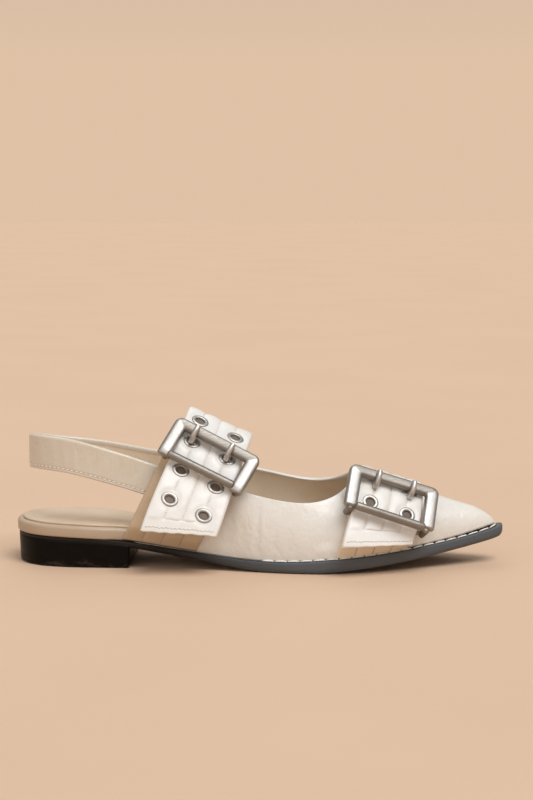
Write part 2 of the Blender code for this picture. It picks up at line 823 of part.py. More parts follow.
def build_strap(band, lift, end, rows, steps):
    def free_end(across):
        height = end.rear + (end.front - end.rear) * (across / band.width + 0.5)
        return around_at(band, across, height)

    def medial_foot(across):
        return STRAP_FOOT + band.slant * across

    strap = band_solid(band, free_end, medial_foot, lift, steps, ("strap_ivory", IVORY))
    places = eyelet_places(band, rows, lift)
    punch(strap, places)
    build_eyelets(band, places)
    return places


def buckle_axes(buckle, band):
    """Middle of the lower bar, then the directions along the bars, up and outwards."""
    low = lifted(band, 0.0, buckle.low, buckle.low_lift)
    high = lifted(band, 0.0, buckle.high, buckle.high_lift)
    up = Vector(high - low)
    reach = up.length
    up.normalize()
    _, over, _, _ = band_frame(band, 0.0, (buckle.low + buckle.high) / 2)
    bar = Vector(over)
    bar -= up * bar.dot(up)
    bar.normalize()
    out = bar.cross(up)
    spin = Matrix.Rotation(np.radians(buckle.twist), 3, out)
    return np.array(low), np.array(spin @ bar), np.array(spin @ up), np.array(out), reach


def tube(name, path, radius, sides, look):
    """Round rod along a path in millimetres."""
    path = np.asarray(path, float)
    tangent = np.gradient(path, axis=0)
    tangent /= np.linalg.norm(tangent, axis=1)[:, None]
    side = np.cross(tangent[0], (0.31, 0.57, 0.76))
    rings = []
    for point, ahead in zip(path, tangent):
        side = side - ahead * np.dot(side, ahead)
        side /= np.linalg.norm(side)
        other = np.cross(ahead, side)
        for k in range(sides):
            angle = 2.0 * pi * k / sides
            rings.append(point + radius * (np.cos(angle) * side + np.sin(angle) * other))
    return swept(name, rings, sides, look)


def build_buckle(buckle, band):
    low, bar, up, out, reach = buckle_axes(buckle, band)
    metal = ("buckle_nickel", NICKEL)

    def at(x, y, z):
        return low + bar * x + up * y + out * z

    reach_x = (BUCKLE_WIDTH - BUCKLE_ARM) / 2
    corner = BUCKLE_CORNER
    route = [(-reach_x, -buckle.arm_end, 0.0)]
    for turn in np.linspace(pi, pi / 2, 5):
        route.append((-reach_x + corner + corner * np.cos(turn), reach - corner + corner * np.sin(turn), 0.0))
    route += [(-x, y, z) for x, y, z in reversed(route)]
    Corner = namedtuple("Corner", "side up")
    half = BUCKLE_ARM / 2
    tall = BUCKLE_HEIGHT / 2
    section = [Corner(-half, -tall), Corner(-half, 0.0), Corner(-0.6 * half, 0.75 * tall), Corner(0.0, tall),
               Corner(0.6 * half, 0.75 * tall), Corner(half, 0.0), Corner(half, -tall)]
    route = np.array(route)
    tangent = np.gradient(route, axis=0)
    tangent /= np.linalg.norm(tangent, axis=1)[:, None]
    rings = []
    for (x, y, z), (ahead_x, ahead_y, _) in zip(route, tangent):
        for spot in section:
            rings.append(at(x - ahead_y * spot.side, y + ahead_x * spot.side, z + spot.up))
    frame = swept(buckle.name + "_frame", rings, len(section), metal)

    ear_x = reach_x - half + 0.9
    bars = {
        "lower_bar": ([at(-reach_x, 0, 0), at(0, 0, 0), at(reach_x, 0, 0)], LOWER_BAR_RADIUS, 10),
        "hinge_bar": ([at(-ear_x, 0, -HINGE_DROP), at(0, 0, -HINGE_DROP), at(ear_x, 0, -HINGE_DROP)],
                      HINGE_BAR_RADIUS, 8),
        "rear_ear": ([at(-ear_x, 0, -HINGE_DROP - 1), at(-ear_x, 0, -3), at(-ear_x, 0, 0.4)], EAR_RADIUS, 8),
        "front_ear": ([at(ear_x, 0, -HINGE_DROP - 1), at(ear_x, 0, -3), at(ear_x, 0, 0.4)], EAR_RADIUS, 8),
    }
    for label, (path, radius, sides) in bars.items():
        rod = hide_tool(tube(buckle.name + "_" + label, path, radius, sides, metal))
        join = frame.modifiers.new(label, "BOOLEAN")
        join.operation = "UNION"
        join.object = rod
    return at, reach


def build_prongs(buckle, band, rows, lift, places, at, reach):
    """A bent rod from the hinge bar under the strap, through an eyelet and over the upper bar."""
    low, bar, _, _, _ = buckle_axes(buckle, band)
    pinned = rows[buckle.pinned_row]
    crest = BUCKLE_HEIGHT / 2 + PRONG_RADIUS + GAP
    before_bar = reach - BUCKLE_ARM / 2 - PRONG_RADIUS - 3 * GAP
    for order, label in enumerate(("rear", "front")):
        centre, axis = places[2 * buckle.pinned_row + order]
        across = (order - 0.5) * EYELET_SPACING[band.name]
        x = np.dot(centre - low, bar)
        route = [at(x, HINGE_BAR_RADIUS + PRONG_RADIUS + 2 * GAP, -HINGE_DROP)]
        for spot in np.linspace(buckle.low, pinned, 5)[2:-1]:
            route.append(lifted(band, across, spot, lift(across, spot) - PRONG_RADIUS - 2 * GAP))
        route += [
            centre - axis * (band.thickness + 0.4),
            centre + axis * 1.9,
            at(x, before_bar - 0.2, -0.5 * BUCKLE_HEIGHT),
            at(x, before_bar + 0.2, 0.4 * crest),
            at(x, reach - 1.0, crest),
            at(x, reach + PRONG_END, crest - 0.2),
        ]
        tube(buckle.name + "_" + label + "_prong", path_through(route, 19), PRONG_RADIUS, 6,
             ("prong_nickel", NICKEL))


def main():
    clear_scene()
    build_outsole()
    build_heel()
    build_footbed()
    build_sock()
    build_upper()
    build_sling()
    build_base_band(INSTEP_BASE, INSTEP_BUCKLE.low - BAND_SHORT)
    build_base_band(TOE_BASE, TOE_BUCKLE.low - BAND_SHORT)
    for band, table, end, rows, buckle, steps in (
            (INSTEP_STRAP, INSTEP_LIFT, INSTEP_END, INSTEP_ROWS, INSTEP_BUCKLE, 30),
            (TOE_STRAP, TOE_LIFT, TOE_END, TOE_ROWS, TOE_BUCKLE, 24)):
        lift = strap_lift(band, table, buckle)
        places = build_strap(band, lift, end, rows, steps)
        at, reach = build_buckle(buckle, band)
        build_prongs(buckle, band, rows, lift, places, at, reach)


main()
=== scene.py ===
# %% [markdown]
# # A pointed slingback flat with two buckled straps
# The shoe is an ivory faux-leather flat for the right foot: a pointed upper, a strap round the heel, and
# two quilted straps that close with nickel buckles on the outer side. The frame is the plain solid model,
# already at its real size. Everything here is laid over it, in the same place, piece by piece.

# %% Load the frame
from collections import namedtuple
from math import pi

import bpy
import numpy as np
from mathutils import Matrix, Vector


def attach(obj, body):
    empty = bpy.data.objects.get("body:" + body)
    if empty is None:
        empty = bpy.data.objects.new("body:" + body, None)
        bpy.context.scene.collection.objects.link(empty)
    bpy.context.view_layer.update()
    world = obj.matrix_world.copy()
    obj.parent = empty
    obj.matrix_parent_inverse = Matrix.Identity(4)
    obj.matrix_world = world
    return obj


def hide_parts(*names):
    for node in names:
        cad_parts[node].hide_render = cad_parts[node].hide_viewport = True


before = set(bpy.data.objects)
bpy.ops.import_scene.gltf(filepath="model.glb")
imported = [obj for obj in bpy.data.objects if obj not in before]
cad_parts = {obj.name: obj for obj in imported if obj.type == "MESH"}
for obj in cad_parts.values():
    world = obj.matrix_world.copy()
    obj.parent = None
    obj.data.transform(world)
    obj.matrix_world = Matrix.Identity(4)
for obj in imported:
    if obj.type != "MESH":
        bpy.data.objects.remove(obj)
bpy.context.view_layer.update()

# %% [markdown]
# ## The shoe's own sizes
# A shoemaker keeps a shoe as a handful of sizes: the sole's outline, its height on the way forward, and
# the last, the wooden foot that the upper is pulled over. One could trace surfaces from the frame's mesh,
# but those are flat facets. The sizes themselves, joined by smooth curves, give as fine a surface as needed.
# Lengths are millimetres: along runs from heel to toe, y from the outer side (minus) to the inner (plus).

# %% Smooth curves through a few sizes
MM = 0.001
LENGTH = 268.0
LATERAL = -1
MEDIAL = 1
BOX_MIDDLE = (133.55, -6.87, 0.0)


def place(points):
    """Millimetres along the shoe to metres in the frame."""
    return (np.asarray(points, float).reshape(-1, 3) - BOX_MIDDLE) * MM


def spline(knots, values):
    """Natural cubic spline through the values, as a function."""
    knots = np.asarray(knots, float)
    values = np.asarray(values, float)
    step = np.diff(knots)
    slope = np.diff(values) / step
    size = len(knots)
    system = np.eye(size)
    bend = np.zeros(size)
    for i in range(1, size - 1):
        system[i, i - 1] = step[i - 1]
        system[i, i] = 2.0 * (step[i - 1] + step[i])
        system[i, i + 1] = step[i]
        bend[i] = 6.0 * (slope[i] - slope[i - 1])
    second = np.linalg.solve(system, bend)

    def value(at):
        at = np.clip(np.asarray(at, float), knots[0], knots[-1])
        i = np.clip(np.searchsorted(knots, at) - 1, 0, size - 2)
        before = knots[i + 1] - at
        after = at - knots[i]
        cubic = second[i] * before**3 + second[i + 1] * after**3
        left = values[i] / step[i] - second[i] * step[i] / 6.0
        right = values[i + 1] / step[i] - second[i + 1] * step[i] / 6.0
        return cubic / (6.0 * step[i]) + left * before + right * after

    return value


def unit(vectors):
    """Vectors brought to length one."""
    return vectors / np.linalg.norm(vectors, axis=-1, keepdims=True)


def run_of(points):
    """Distance from the first point of a line to each of its points."""
    return np.r_[0.0, np.cumsum(np.linalg.norm(np.diff(points, axis=0), axis=1))]


def points_at(spots, run, points):
    """Points of a line at some distances along it."""
    return np.stack([np.interp(spots, run, points[:, k]) for k in range(points.shape[1])], axis=-1)


def path_through(points, count):
    """Evenly spaced points along a smooth curve through the given points."""
    points = np.asarray(points, float)
    chord = run_of(points)
    fine = np.linspace(0.0, chord[-1], 1500)
    dense = np.stack([spline(chord, points[:, k])(fine) for k in range(points.shape[1])], axis=1)
    run = run_of(dense)
    return points_at(np.linspace(0.0, run[-1], count), run, dense)


def ease(share):
    """Smooth step from 0 to 1."""
    share = np.clip(share, 0.0, 1.0)
    return share * share * (3.0 - 2.0 * share)


print("a curve through 0, 1, 0 is highest at", float(spline([0, 1, 2], [0, 1, 0])(1.0)))

# %% [markdown]
# The sole's edge seen from above is two smooth lines, one a side, that meet at the heel's back and at the
# toe's tip. Seen from the side, its upper face dips from the heel to the ball and rises again to the toe.

# %% Sole outline and heights
PLAN_ALONG = [0, 2.6, 11, 25, 45, 68, 92, 118, 145, 168, 186, 206, 226, 244, 258, 265.4, 267.8, LENGTH]
PLAN_HALF = {
    LATERAL: [0, 11.5, 21.5, 27.3, 29.2, 29.8, 31, 34.8, 40.2,
              42.5, 40.6, 34.4, 25.4, 16.4, 9.6, 6.2, 3.4, 0],
    MEDIAL: [0, 11.5, 21, 26.6, 27.6, 24.8, 22, 25, 33.2,
             38.6, 38, 32.8, 24.4, 16, 9.5, 6.2, 3.4, 0],
}
TREAD_ALONG = [0, 30, 58, 80, 100, 120, 140, 160, 180, 200, 222, 244, 260, LENGTH]
TREAD_TOP = [17, 16.5, 14.9, 11.8, 9.1, 6.7, 5.6, 6.3, 7.9, 9.6, 12, 15.2, 18.6, 20.9]
TREAD_THICKNESS = [3.2, 3.2, 3.2, 3.3, 3.9, 4.8, 5.9, 6.7, 6.9, 6.6, 6.1, 5.7, 5.9, 6.0]
SOLE_SIDE_POINTS = 150
EVEN_SHARE = 0.45

tread_top = spline(TREAD_ALONG, TREAD_TOP)
tread_thickness = spline(TREAD_ALONG, TREAD_THICKNESS)


def tread_bottom(along):
    return np.maximum(tread_top(along) - tread_thickness(along), 0.0)


def plan_side(side, count):
    """Outsole edge on one side, from the heel's back to the toe's tip, its points closer at both ends."""
    rows = list(zip(PLAN_ALONG, [side * half for half in PLAN_HALF[side]]))
    mirrored_heel = [(along, -y) for along, y in rows[3:0:-1]]
    mirrored_toe = [(along, -y) for along, y in rows[-2:-5:-1]]
    dense = path_through(mirrored_heel + rows + mirrored_toe, 3000)
    inside = dense[dense[:, 1] * side >= 0.0]
    length = run_of(inside)
    even = np.linspace(0.0, 1.0, count)
    crowded = (1.0 - np.cos(pi * even)) / 2
    share = (EVEN_SHARE * even + (1.0 - EVEN_SHARE) * crowded) * length[-1]
    points = points_at(share, length, inside)
    points[[0, -1], 1] = 0.0
    return points


def outline(inset, half_count=SOLE_SIDE_POINTS):
    """Closed loop (heel back, lateral, toe tip, medial) set in from the outsole's edge."""
    lateral = plan_side(LATERAL, half_count + 1)
    medial = plan_side(MEDIAL, half_count + 1)
    loop = np.concatenate([lateral, medial[-2:0:-1]])
    tangent = unit(np.roll(loop, -1, axis=0) - np.roll(loop, 1, axis=0))
    inward = np.stack([-tangent[:, 1], tangent[:, 0]], axis=1)
    depth = inset(loop[:, 0]) if callable(inset) else np.full(len(loop), inset)
    return loop + inward * depth[:, None]


def level(loop, height):
    """A plan loop lifted to a height that depends on the distance along."""
    return np.column_stack([loop, height(loop[:, 0])])


print("sole edge points:", len(outline(0.0)))

# %% [markdown]
# The last stands on the sole, set in by a ledge. Each cross section climbs from the foot of the upper to a
# ridge, so a place on it is told by how far along it is and how far it has climbed.

# %% The last
LEDGE_ALONG = [0, 120, 180, 235, 258, LENGTH]
LEDGE_WIDTH = [3.1, 3.0, 2.7, 2.7, 3.1, 4.2]
LAST_ALONG = [40, 80, 105, 130, 160, 185, 210, 232, 250, LENGTH]
LAST_RISE = [82, 73.5, 66.8, 59.6, 49.6, 41.4, 32, 22.7, 14.3, 6.2]
LAST_RIDGE_Y = [0, 0, 0, 0.5, 0.8, 0.8, 0.6, 0.3, 0, 0]
LAST_SWELL = {
    LATERAL: [4.6, 4.6, 4.4, 4.0, 3.8, 3.2, 2.0, 1.0, 0.5, 0.2],
    MEDIAL: [6.5, 7.0, 7.0, 5.4, 3.6, 3.0, 1.8, 1.0, 0.5, 0.2],
}
LAST_PEAK = [1.0, 1.0, 1.0, 1.02, 1.08, 1.12, 1.12, 1.08, 1.02, 1.0]
NOSE = 14.0
ROUND_TOE = 12.0
LOW_SWELL = 0.35
UPPER_LIFT = 0.45
TIP_LIFT = 0.4
THROAT = 186.0

ledge_width = spline(LEDGE_ALONG, LEDGE_WIDTH)
last_rise = spline(LAST_ALONG, LAST_RISE)
last_ridge_y = spline(LAST_ALONG, LAST_RIDGE_Y)
last_peak = spline(LAST_ALONG, LAST_PEAK)
last_swell = {side: spline(LAST_ALONG, LAST_SWELL[side]) for side in (LATERAL, MEDIAL)}
FEATHER_LOOP = outline(ledge_width, 600)
TIP = FEATHER_LOOP[:, 0].max()


def feather(along):
    """Height of the foot of the upper."""
    return tread_top(along) + UPPER_LIFT + TIP_LIFT * np.clip((along - TIP) / NOSE + 1.0, 0.0, 1.0)**4


def feather_half(along, side):
    """Half width of the upper at its foot, narrowing steadily from the throat to the tip."""
    edge = FEATHER_LOOP[FEATHER_LOOP[:, 1] * side >= 0.0]
    edge = edge[np.argsort(edge[:, 0])]
    half = np.abs(edge[:, 1])
    toe = edge[:, 0] > THROAT
    half[toe] = np.maximum.accumulate(half[toe][::-1])[::-1]
    return np.interp(along, edge[:, 0], half)


def ridge_rise(along):
    """Height of the ridge over the foot of the upper, rounded off at the toe."""
    into_nose = np.clip((along - (TIP - NOSE)) / NOSE, 0.0, 1.0)
    return last_rise(along) * np.sqrt(1.0 - into_nose**2)


def last_point(along, climb, side):
    """Point of the last: climb runs from 0 at the foot of the upper to 1 on the ridge."""
    turn = 0.5 * pi * np.clip(climb, 0.0, 1.0)
    reach = np.cos(turn)**last_peak(along)
    half = feather_half(along, side)
    round_toe = np.clip(half / ROUND_TOE, 0.0, 1.0)
    swell = last_swell[side](along) * round_toe * np.sin(2.0 * turn) * (1.0 - LOW_SWELL * climb)
    ridge = last_ridge_y(along) * round_toe
    y = ridge * (1.0 - reach) + side * (half * reach + swell)
    z = feather(along) + ridge_rise(along) * np.sin(turn)
    return np.stack([np.broadcast_to(along, y.shape), y, z], axis=-1)


def climb_to(along, height):
    """The climb at which the last reaches a height."""
    share = (height - feather(along)) / ridge_rise(along)
    return np.arcsin(np.clip(share, 0.0, 1.0)) / (0.5 * pi)


print("the upper's foot ends", round(LENGTH - TIP, 2), "mm short of the sole's tip")

# %% [markdown]
# ## Camera
# The photograph was taken from a little over a metre away, about 12 degrees above the floor and square to
# the shoe's outer side. The lens follows from the shoe's size in the picture. The view is aimed by turning
# the camera, not by shifting its lens, so that upright lines converge as they do in the picture.

# %% Camera at the photograph's angle
IMAGE_SIZE = (533, 800)
CAMERA_DISTANCE = 1.1
CAMERA_TURN = np.radians(2.4)
CAMERA_RISE = np.radians(11.55)
CAMERA_TARGET = np.array([0.00045, 0.00512, 0.0])
TARGET_PIXEL = (260.0, 559.0)
METRES_PER_PIXEL = 0.000558
SENSOR = 24.0

focal = CAMERA_DISTANCE / METRES_PER_PIXEL
back = np.array([np.sin(CAMERA_TURN) * np.cos(CAMERA_RISE), -np.cos(CAMERA_TURN) * np.cos(CAMERA_RISE),
                 np.sin(CAMERA_RISE)])
wanted = [(TARGET_PIXEL[k] - IMAGE_SIZE[k] / 2) / focal for k in (0, 1)]
shift = list(wanted)
world_up = np.array([0.0, 0.0, 1.0])
first_right = np.cross(-back, world_up) / np.linalg.norm(np.cross(-back, world_up))
first_up = np.cross(first_right, -back)
for _ in range(20):
    axis = -back - shift[0] * first_right + shift[1] * first_up
    axis /= np.linalg.norm(axis)
    right = np.cross(axis, world_up)
    right /= np.linalg.norm(right)
    upward = np.cross(right, axis)
    ahead = -back / np.dot(-back, axis)
    shift[0] += wanted[0] - np.dot(ahead, right)
    shift[1] += wanted[1] + np.dot(ahead, upward)

bpy.ops.object.select_all(action="DESELECT")
bpy.ops.object.camera_add()
camera = bpy.context.object
camera.name = "photo_camera"
turn = Matrix((right, upward, -axis)).transposed()
camera.matrix_world = Matrix.Translation(CAMERA_TARGET + CAMERA_DISTANCE * back) @ turn.to_4x4()
camera.data.sensor_fit = "VERTICAL"
camera.data.sensor_height = SENSOR
camera.data.lens = focal / IMAGE_SIZE[1] * SENSOR
camera.data.clip_start = 0.01
bpy.context.scene.camera = camera
print("lens", round(camera.data.lens, 2), "mm")

# %% [markdown]
# ## Finishes
# The leathers share one recipe: a colour that drifts a little, fine pores, soft wrinkles and an uneven
# gloss. Image textures could hold all that, but noise on Object coordinates has no seams and no stretching.
# The creases are ridged noise, drawn out one way where the leather bends one way, as on the slingback.

# %% Leather
DRIFT_SCALE = 42.0
GLOSS_SCALE = 150.0
CREASE_SCALE = 190.0
WRINKLE_SCALE = 230.0
PORE_SCALE = 1500.0


def start_look(name, colour, roughness, metallic=0.0):
    look = bpy.data.materials.new(name)
    look.use_nodes = True
    shader = look.node_tree.nodes["Principled BSDF"]
    shader.inputs["Base Color"].default_value = (*colour, 1.0)
    shader.inputs["Roughness"].default_value = roughness
    shader.inputs["Metallic"].default_value = metallic
    return look


def add_node(look, kind, **settings):
    """A node with its sockets, or else its own settings, filled in."""
    node = look.node_tree.nodes.new(kind)
    for name, value in settings.items():
        socket = node.inputs.get(name.replace("_", " ").title())
        if socket is None:
            setattr(node, name, value)
        else:
            socket.default_value = value
    return node


def link(look, out, into):
    look.node_tree.links.new(out, into)


def shader_of(look):
    return look.node_tree.nodes["Principled BSDF"]


def object_place(look, stretch=(1.0, 1.0, 1.0), source="Object"):
    """Coordinates on the piece, stretched for a pattern that runs one way."""
    where = add_node(look, "ShaderNodeTexCoord")
    mapping = add_node(look, "ShaderNodeMapping", scale=stretch)
    link(look, where.outputs[source], mapping.inputs["Vector"])
    return mapping.outputs["Vector"]


def noise(look, where, scale, detail=3.0, roughness=0.5):
    node = add_node(look, "ShaderNodeTexNoise", scale=scale, detail=detail, roughness=roughness)
    link(look, where, node.inputs["Vector"])
    return node.outputs["Fac"]


def tones(look, factor, stops):
    """Colours at places from 0 to 1 along a factor."""
    ramp = add_node(look, "ShaderNodeValToRGB")
    band = ramp.color_ramp
    while len(band.elements) < len(stops):
        band.elements.new(0.5)
    for element, (spot, colour) in zip(band.elements, stops):
        element.position = spot
        element.color = (*colour, 1.0)
    link(look, factor, ramp.inputs["Fac"])
    return ramp.outputs["Color"]


def ranged(look, factor, low, high, low_in=0.3, high_in=0.7):
    node = add_node(look, "ShaderNodeMapRange", from_min=low_in, from_max=high_in, to_min=low, to_max=high)
    link(look, factor, node.inputs["Value"])
    return node.outputs["Result"]


def bump(look, height, strength, distance, under=None):
    node = add_node(look, "ShaderNodeBump", strength=strength, distance=distance)
    link(look, height, node.inputs["Height"])
    if under is not None:
        link(look, under, node.inputs["Normal"])
    return node.outputs["Normal"]


def shade(colour, amount):
    return tuple(channel * amount for channel in colour)


def leather(name, colour, gloss=(0.36, 0.5), pores=0.16, wrinkles=0.25, coat=0.12, crinkle=0.1,
            run=(1.0, 1.0, 1.0)):
    look = start_look(name, colour, 0.45)
    where = object_place(look)
    shader = shader_of(look)
    drift = noise(look, where, DRIFT_SCALE, 5.0, 0.6)
    warm = (colour[0] * 0.95, colour[1] * 0.91, colour[2] * 0.84)
    link(look, tones(look, drift, [(0.3, warm), (0.5, colour), (0.72, shade(colour, 1.03))]),
         shader.inputs["Base Color"])
    link(look, ranged(look, noise(look, where, GLOSS_SCALE, 4.0), *gloss), shader.inputs["Roughness"])
    ridges = add_node(look, "ShaderNodeTexNoise", noise_type="RIDGED_MULTIFRACTAL", scale=CREASE_SCALE,
                      detail=4.0, distortion=0.6)
    link(look, object_place(look, run), ridges.inputs["Vector"])
    creased = bump(look, ridges.outputs["Fac"], crinkle, -0.0003)
    soft = bump(look, noise(look, where, WRINKLE_SCALE, 4.0, 0.55), wrinkles, 0.0006, creased)
    pore = add_node(look, "ShaderNodeTexVoronoi", scale=PORE_SCALE)
    link(look, where, pore.inputs["Vector"])
    fine = bump(look, pore.outputs["Distance"], pores, 0.0002, soft)
    link(look, fine, shader.inputs["Normal"])
    shader.inputs["Coat Weight"].default_value = coat
    shader.inputs["Coat Roughness"].default_value = 0.3
    return look


UPPER_IVORY = leather("upper_ivory", (0.695, 0.675, 0.635), gloss=(0.3, 0.44), wrinkles=0.45, coat=0.2,
                      crinkle=0.8, run=(1.5, 1.5, 0.8))
STRAP_IVORY = leather("strap_ivory", (0.72, 0.71, 0.69))
# The bands are the straps' ivory painted warmer and darker: painted shade, tinted by warm light from the
# floor.
BAND_IVORY_PAINTED_SHADE = leather("band_ivory", (0.73, 0.61, 0.465), gloss=(0.38, 0.52))
# The instep band's copy is darker still: painted shade from the strap above it.
INSTEP_BAND_PAINTED_SHADE = leather("instep_band_painted_shade", (0.51, 0.395, 0.275), gloss=(0.38, 0.52))
# The sling is the same ivory painted darker and warmer than the upper: painted shade.
SLING_IVORY_PAINTED_SHADE = leather("sling_ivory", (0.60, 0.54, 0.455), gloss=(0.24, 0.36), coat=0.45, crinkle=0.7,
                      run=(2.6, 2.6, 0.3))
# The footbed's ivory is painted a darker tan: painted shade, tinted warm as if lit by the floor.
FOOTBED_IVORY_PAINTED_SHADE = leather("footbed_ivory", (0.43, 0.335, 0.24), gloss=(0.42, 0.56))
SOCK_TAUPE = leather("sock_lining", (0.56, 0.435, 0.315), gloss=(0.5, 0.66), pores=0.25, coat=0.0)
LINING_TAUPE = leather("lining_taupe", (0.72, 0.61, 0.475), gloss=(0.5, 0.66), pores=0.25, coat=0.0)
print("leathers:", [look.name for look in bpy.data.materials if look.users == 0])

# %% [markdown]
# The sole's edge is black compound, buffed along its length, so its streaks run that way: the noise is
# stretched on the piece's own UV map, whose first direction follows the edge. It is charcoal from the ball
# forward and painted nearly black towards the waist, as painted shade where the waist lies in shadow. The
# heel block is a browner black with a soft shine. Near the floor it has a few rubs, painted lighter there
# both as wear and as a painted reflection of the floor. Threads are matt, with a fine fibre.

# %% Sole, heel and thread
STREAK_STRETCH = (30.0, 260.0, 1.0)
GRIT_SCALE = 1400.0
FIBRE_SCALE = 2600.0
WAIST_SHADE_FADE = (-0.05, 0.02)
RUB_AND_REFLECTION_HEIGHT = 0.006


def sole_edge(name, shaded_waist, forefoot, gloss):
    look = start_look(name, forefoot, 0.4)
    shader = shader_of(look)
    streak = noise(look, object_place(look, STREAK_STRETCH, "UV"), 3.0, 5.0, 0.6)
    parts = add_node(look, "ShaderNodeSeparateXYZ")
    link(look, object_place(look), parts.inputs["Vector"])
    # Towards the waist the edge is painted darker: painted shade where the waist lies in shadow.
    ahead = ranged(look, parts.outputs["X"], 0.0, 1.0, *WAIST_SHADE_FADE)
    mixed = add_node(look, "ShaderNodeMix", data_type="RGBA")
    link(look, ahead, mixed.inputs["Factor"])
    for socket, colour in zip((6, 7), (shaded_waist, forefoot)):
        streaked = tones(look, streak, [(0.3, shade(colour, 0.7)), (0.7, shade(colour, 1.2))])
        link(look, streaked, mixed.inputs[socket])
    link(look, mixed.outputs[2], shader.inputs["Base Color"])
    link(look, ranged(look, streak, *gloss), shader.inputs["Roughness"])
    shader.inputs["Specular IOR Level"].default_value = 0.22
    grit = noise(look, object_place(look), GRIT_SCALE, 3.0)
    link(look, bump(look, grit, 0.2, 0.0002, bump(look, streak, 0.3, 0.0003)), shader.inputs["Normal"])
    return look


def heel_lacquer(name):
    look = start_look(name, (0.02, 0.015, 0.012), 0.35)
    shader = shader_of(look)
    rubs = noise(look, object_place(look, (1.0, 1.0, 3.0)), 90.0, 6.0, 0.65)
    parts = add_node(look, "ShaderNodeSeparateXYZ")
    link(look, object_place(look), parts.inputs["Vector"])
    # Near the floor the rubs are painted lighter: real wear, and a painted reflection of the floor.
    low_rubs_and_reflection = add_node(look, "ShaderNodeMath", operation="MULTIPLY")
    link(look, rubs, low_rubs_and_reflection.inputs[0])
    link(look, ranged(look, parts.outputs["Z"], 1.25, 0.8, 0.0, RUB_AND_REFLECTION_HEIGHT), low_rubs_and_reflection.inputs[1])
    black, worn_and_reflecting, bare_and_reflecting = (0.002, 0.0013, 0.001), (0.005, 0.003, 0.0022), (0.04, 0.033, 0.028)
    rubbed_and_reflected = tones(look, low_rubs_and_reflection.outputs["Value"], [(0.3, black), (0.58, worn_and_reflecting), (0.78, bare_and_reflecting)])
    link(look, rubbed_and_reflected, shader.inputs["Base Color"])
    link(look, ranged(look, rubs, 0.3, 0.5), shader.inputs["Roughness"])
    shader.inputs["Specular IOR Level"].default_value = 0.1
    layer = noise(look, object_place(look, (8.0, 8.0, 500.0)), 4.0, 3.0)
    link(look, bump(look, layer, 0.12, 0.0003), shader.inputs["Normal"])
    return look


def thread(name, colour):
    look = start_look(name, colour, 0.6)
    shader = shader_of(look)
    fibre = noise(look, object_place(look), FIBRE_SCALE, 2.0)
    link(look, tones(look, fibre, [(0.25, shade(colour, 0.7)), (0.6, colour)]), shader.inputs["Base Color"])
    link(look, ranged(look, fibre, 0.5, 0.72), shader.inputs["Roughness"])
    link(look, bump(look, fibre, 0.4, 0.0002), shader.inputs["Normal"])
    return look


SOLE_EDGE = sole_edge("sole_edge", (0.012, 0.008, 0.006), (0.096, 0.106, 0.118), (0.4, 0.6))
SOLE_TREAD = sole_edge("sole_black", (0.009, 0.008, 0.007), (0.02, 0.02, 0.02), (0.45, 0.65))
HEEL_BLACK = heel_lacquer("heel_black")
WELT_THREAD = thread("welt_thread", (0.84, 0.81, 0.77))
STRAP_THREAD = thread("strap_thread", (0.82, 0.79, 0.74))
# Needle holes are dark marks: painted shade in the holes between stitches.
NEEDLE_HOLE_PAINTED_SHADE = thread("needle_hole_painted_shade", (0.40, 0.33, 0.26))
BAND_THREAD = thread("band_thread", (0.45, 0.35, 0.25))
# The bands' hole marks are darker still: painted shade.
BAND_HOLE_PAINTED_SHADE = thread("band_hole_painted_shade", (0.12, 0.085, 0.06))
print("dark looks and threads ready")

# %% [markdown]
# The buckles are satin nickel with a slightly warm tone. Real brushing leaves very fine lines; here they
# are noise stretched along the bars, used for both the gloss and the bump.

# %% Nickel
BRUSH_STRETCH = (90.0, 700.0, 700.0)
CLOUD_SCALE = 130.0
PIT_SCALE = 750.0


def nickel(name, colour, gloss, lines):
    look = start_look(name, colour, 0.3, 1.0)
    shader = shader_of(look)
    brushed = noise(look, object_place(look, BRUSH_STRETCH), 2.2, 4.0, 0.6)
    cloud = noise(look, object_place(look), CLOUD_SCALE, 4.0)
    link(look, tones(look, cloud, [(0.3, shade(colour, 0.88)), (0.7, shade(colour, 1.06))]),
         shader.inputs["Base Color"])
    link(look, ranged(look, brushed, *gloss), shader.inputs["Roughness"])
    pits = noise(look, object_place(look), PIT_SCALE, 4.0, 0.6)
    link(look, bump(look, pits, 0.25, 0.0002, bump(look, brushed, lines, 0.0001)), shader.inputs["Normal"])
    return look


# Bars and arms are one nickel: the bars' copy is painted darker and the arms' lighter, as painted reflection.
BUCKLE_NICKEL = nickel("buckle_nickel", (0.275, 0.25, 0.222), (0.42, 0.58), 0.14)
ARM_NICKEL_PAINTED_LIGHTER = nickel("buckle_arm_painted_reflection", (0.39, 0.367, 0.345), (0.36, 0.5), 0.1)
PRONG_NICKEL = nickel("prong_nickel", (0.58, 0.555, 0.535), (0.42, 0.54), 0.08)
EYELET_NICKEL = nickel("eyelet_nickel", (0.42, 0.40, 0.375), (0.38, 0.5), 0.08)
# A dark brown disc sits in each open eyelet hole as painted shade.
EYELET_HOLE_PAINTED_SHADE = leather("eyelet_hole_painted_shade", (0.15, 0.115, 0.09), gloss=(0.5, 0.7), coat=0.0)
print("metals ready")

# %% [markdown]
# ## Laying a piece out
# Nearly every piece of a shoe is a sheet that is bent, wrapped or stretched over something. So each one
# starts as a grid primitive whose rows and columns are laid where the sizes say. Its edges are then merged
# in edit mode and its normals turned outwards. Extruding by hand would give the same sheet, less exactly.

# %% Grid pieces
MERGE = 2e-6
FILL_SHARES = (0.96, 0.86, 0.7, 0.5, 0.25, 0.0)


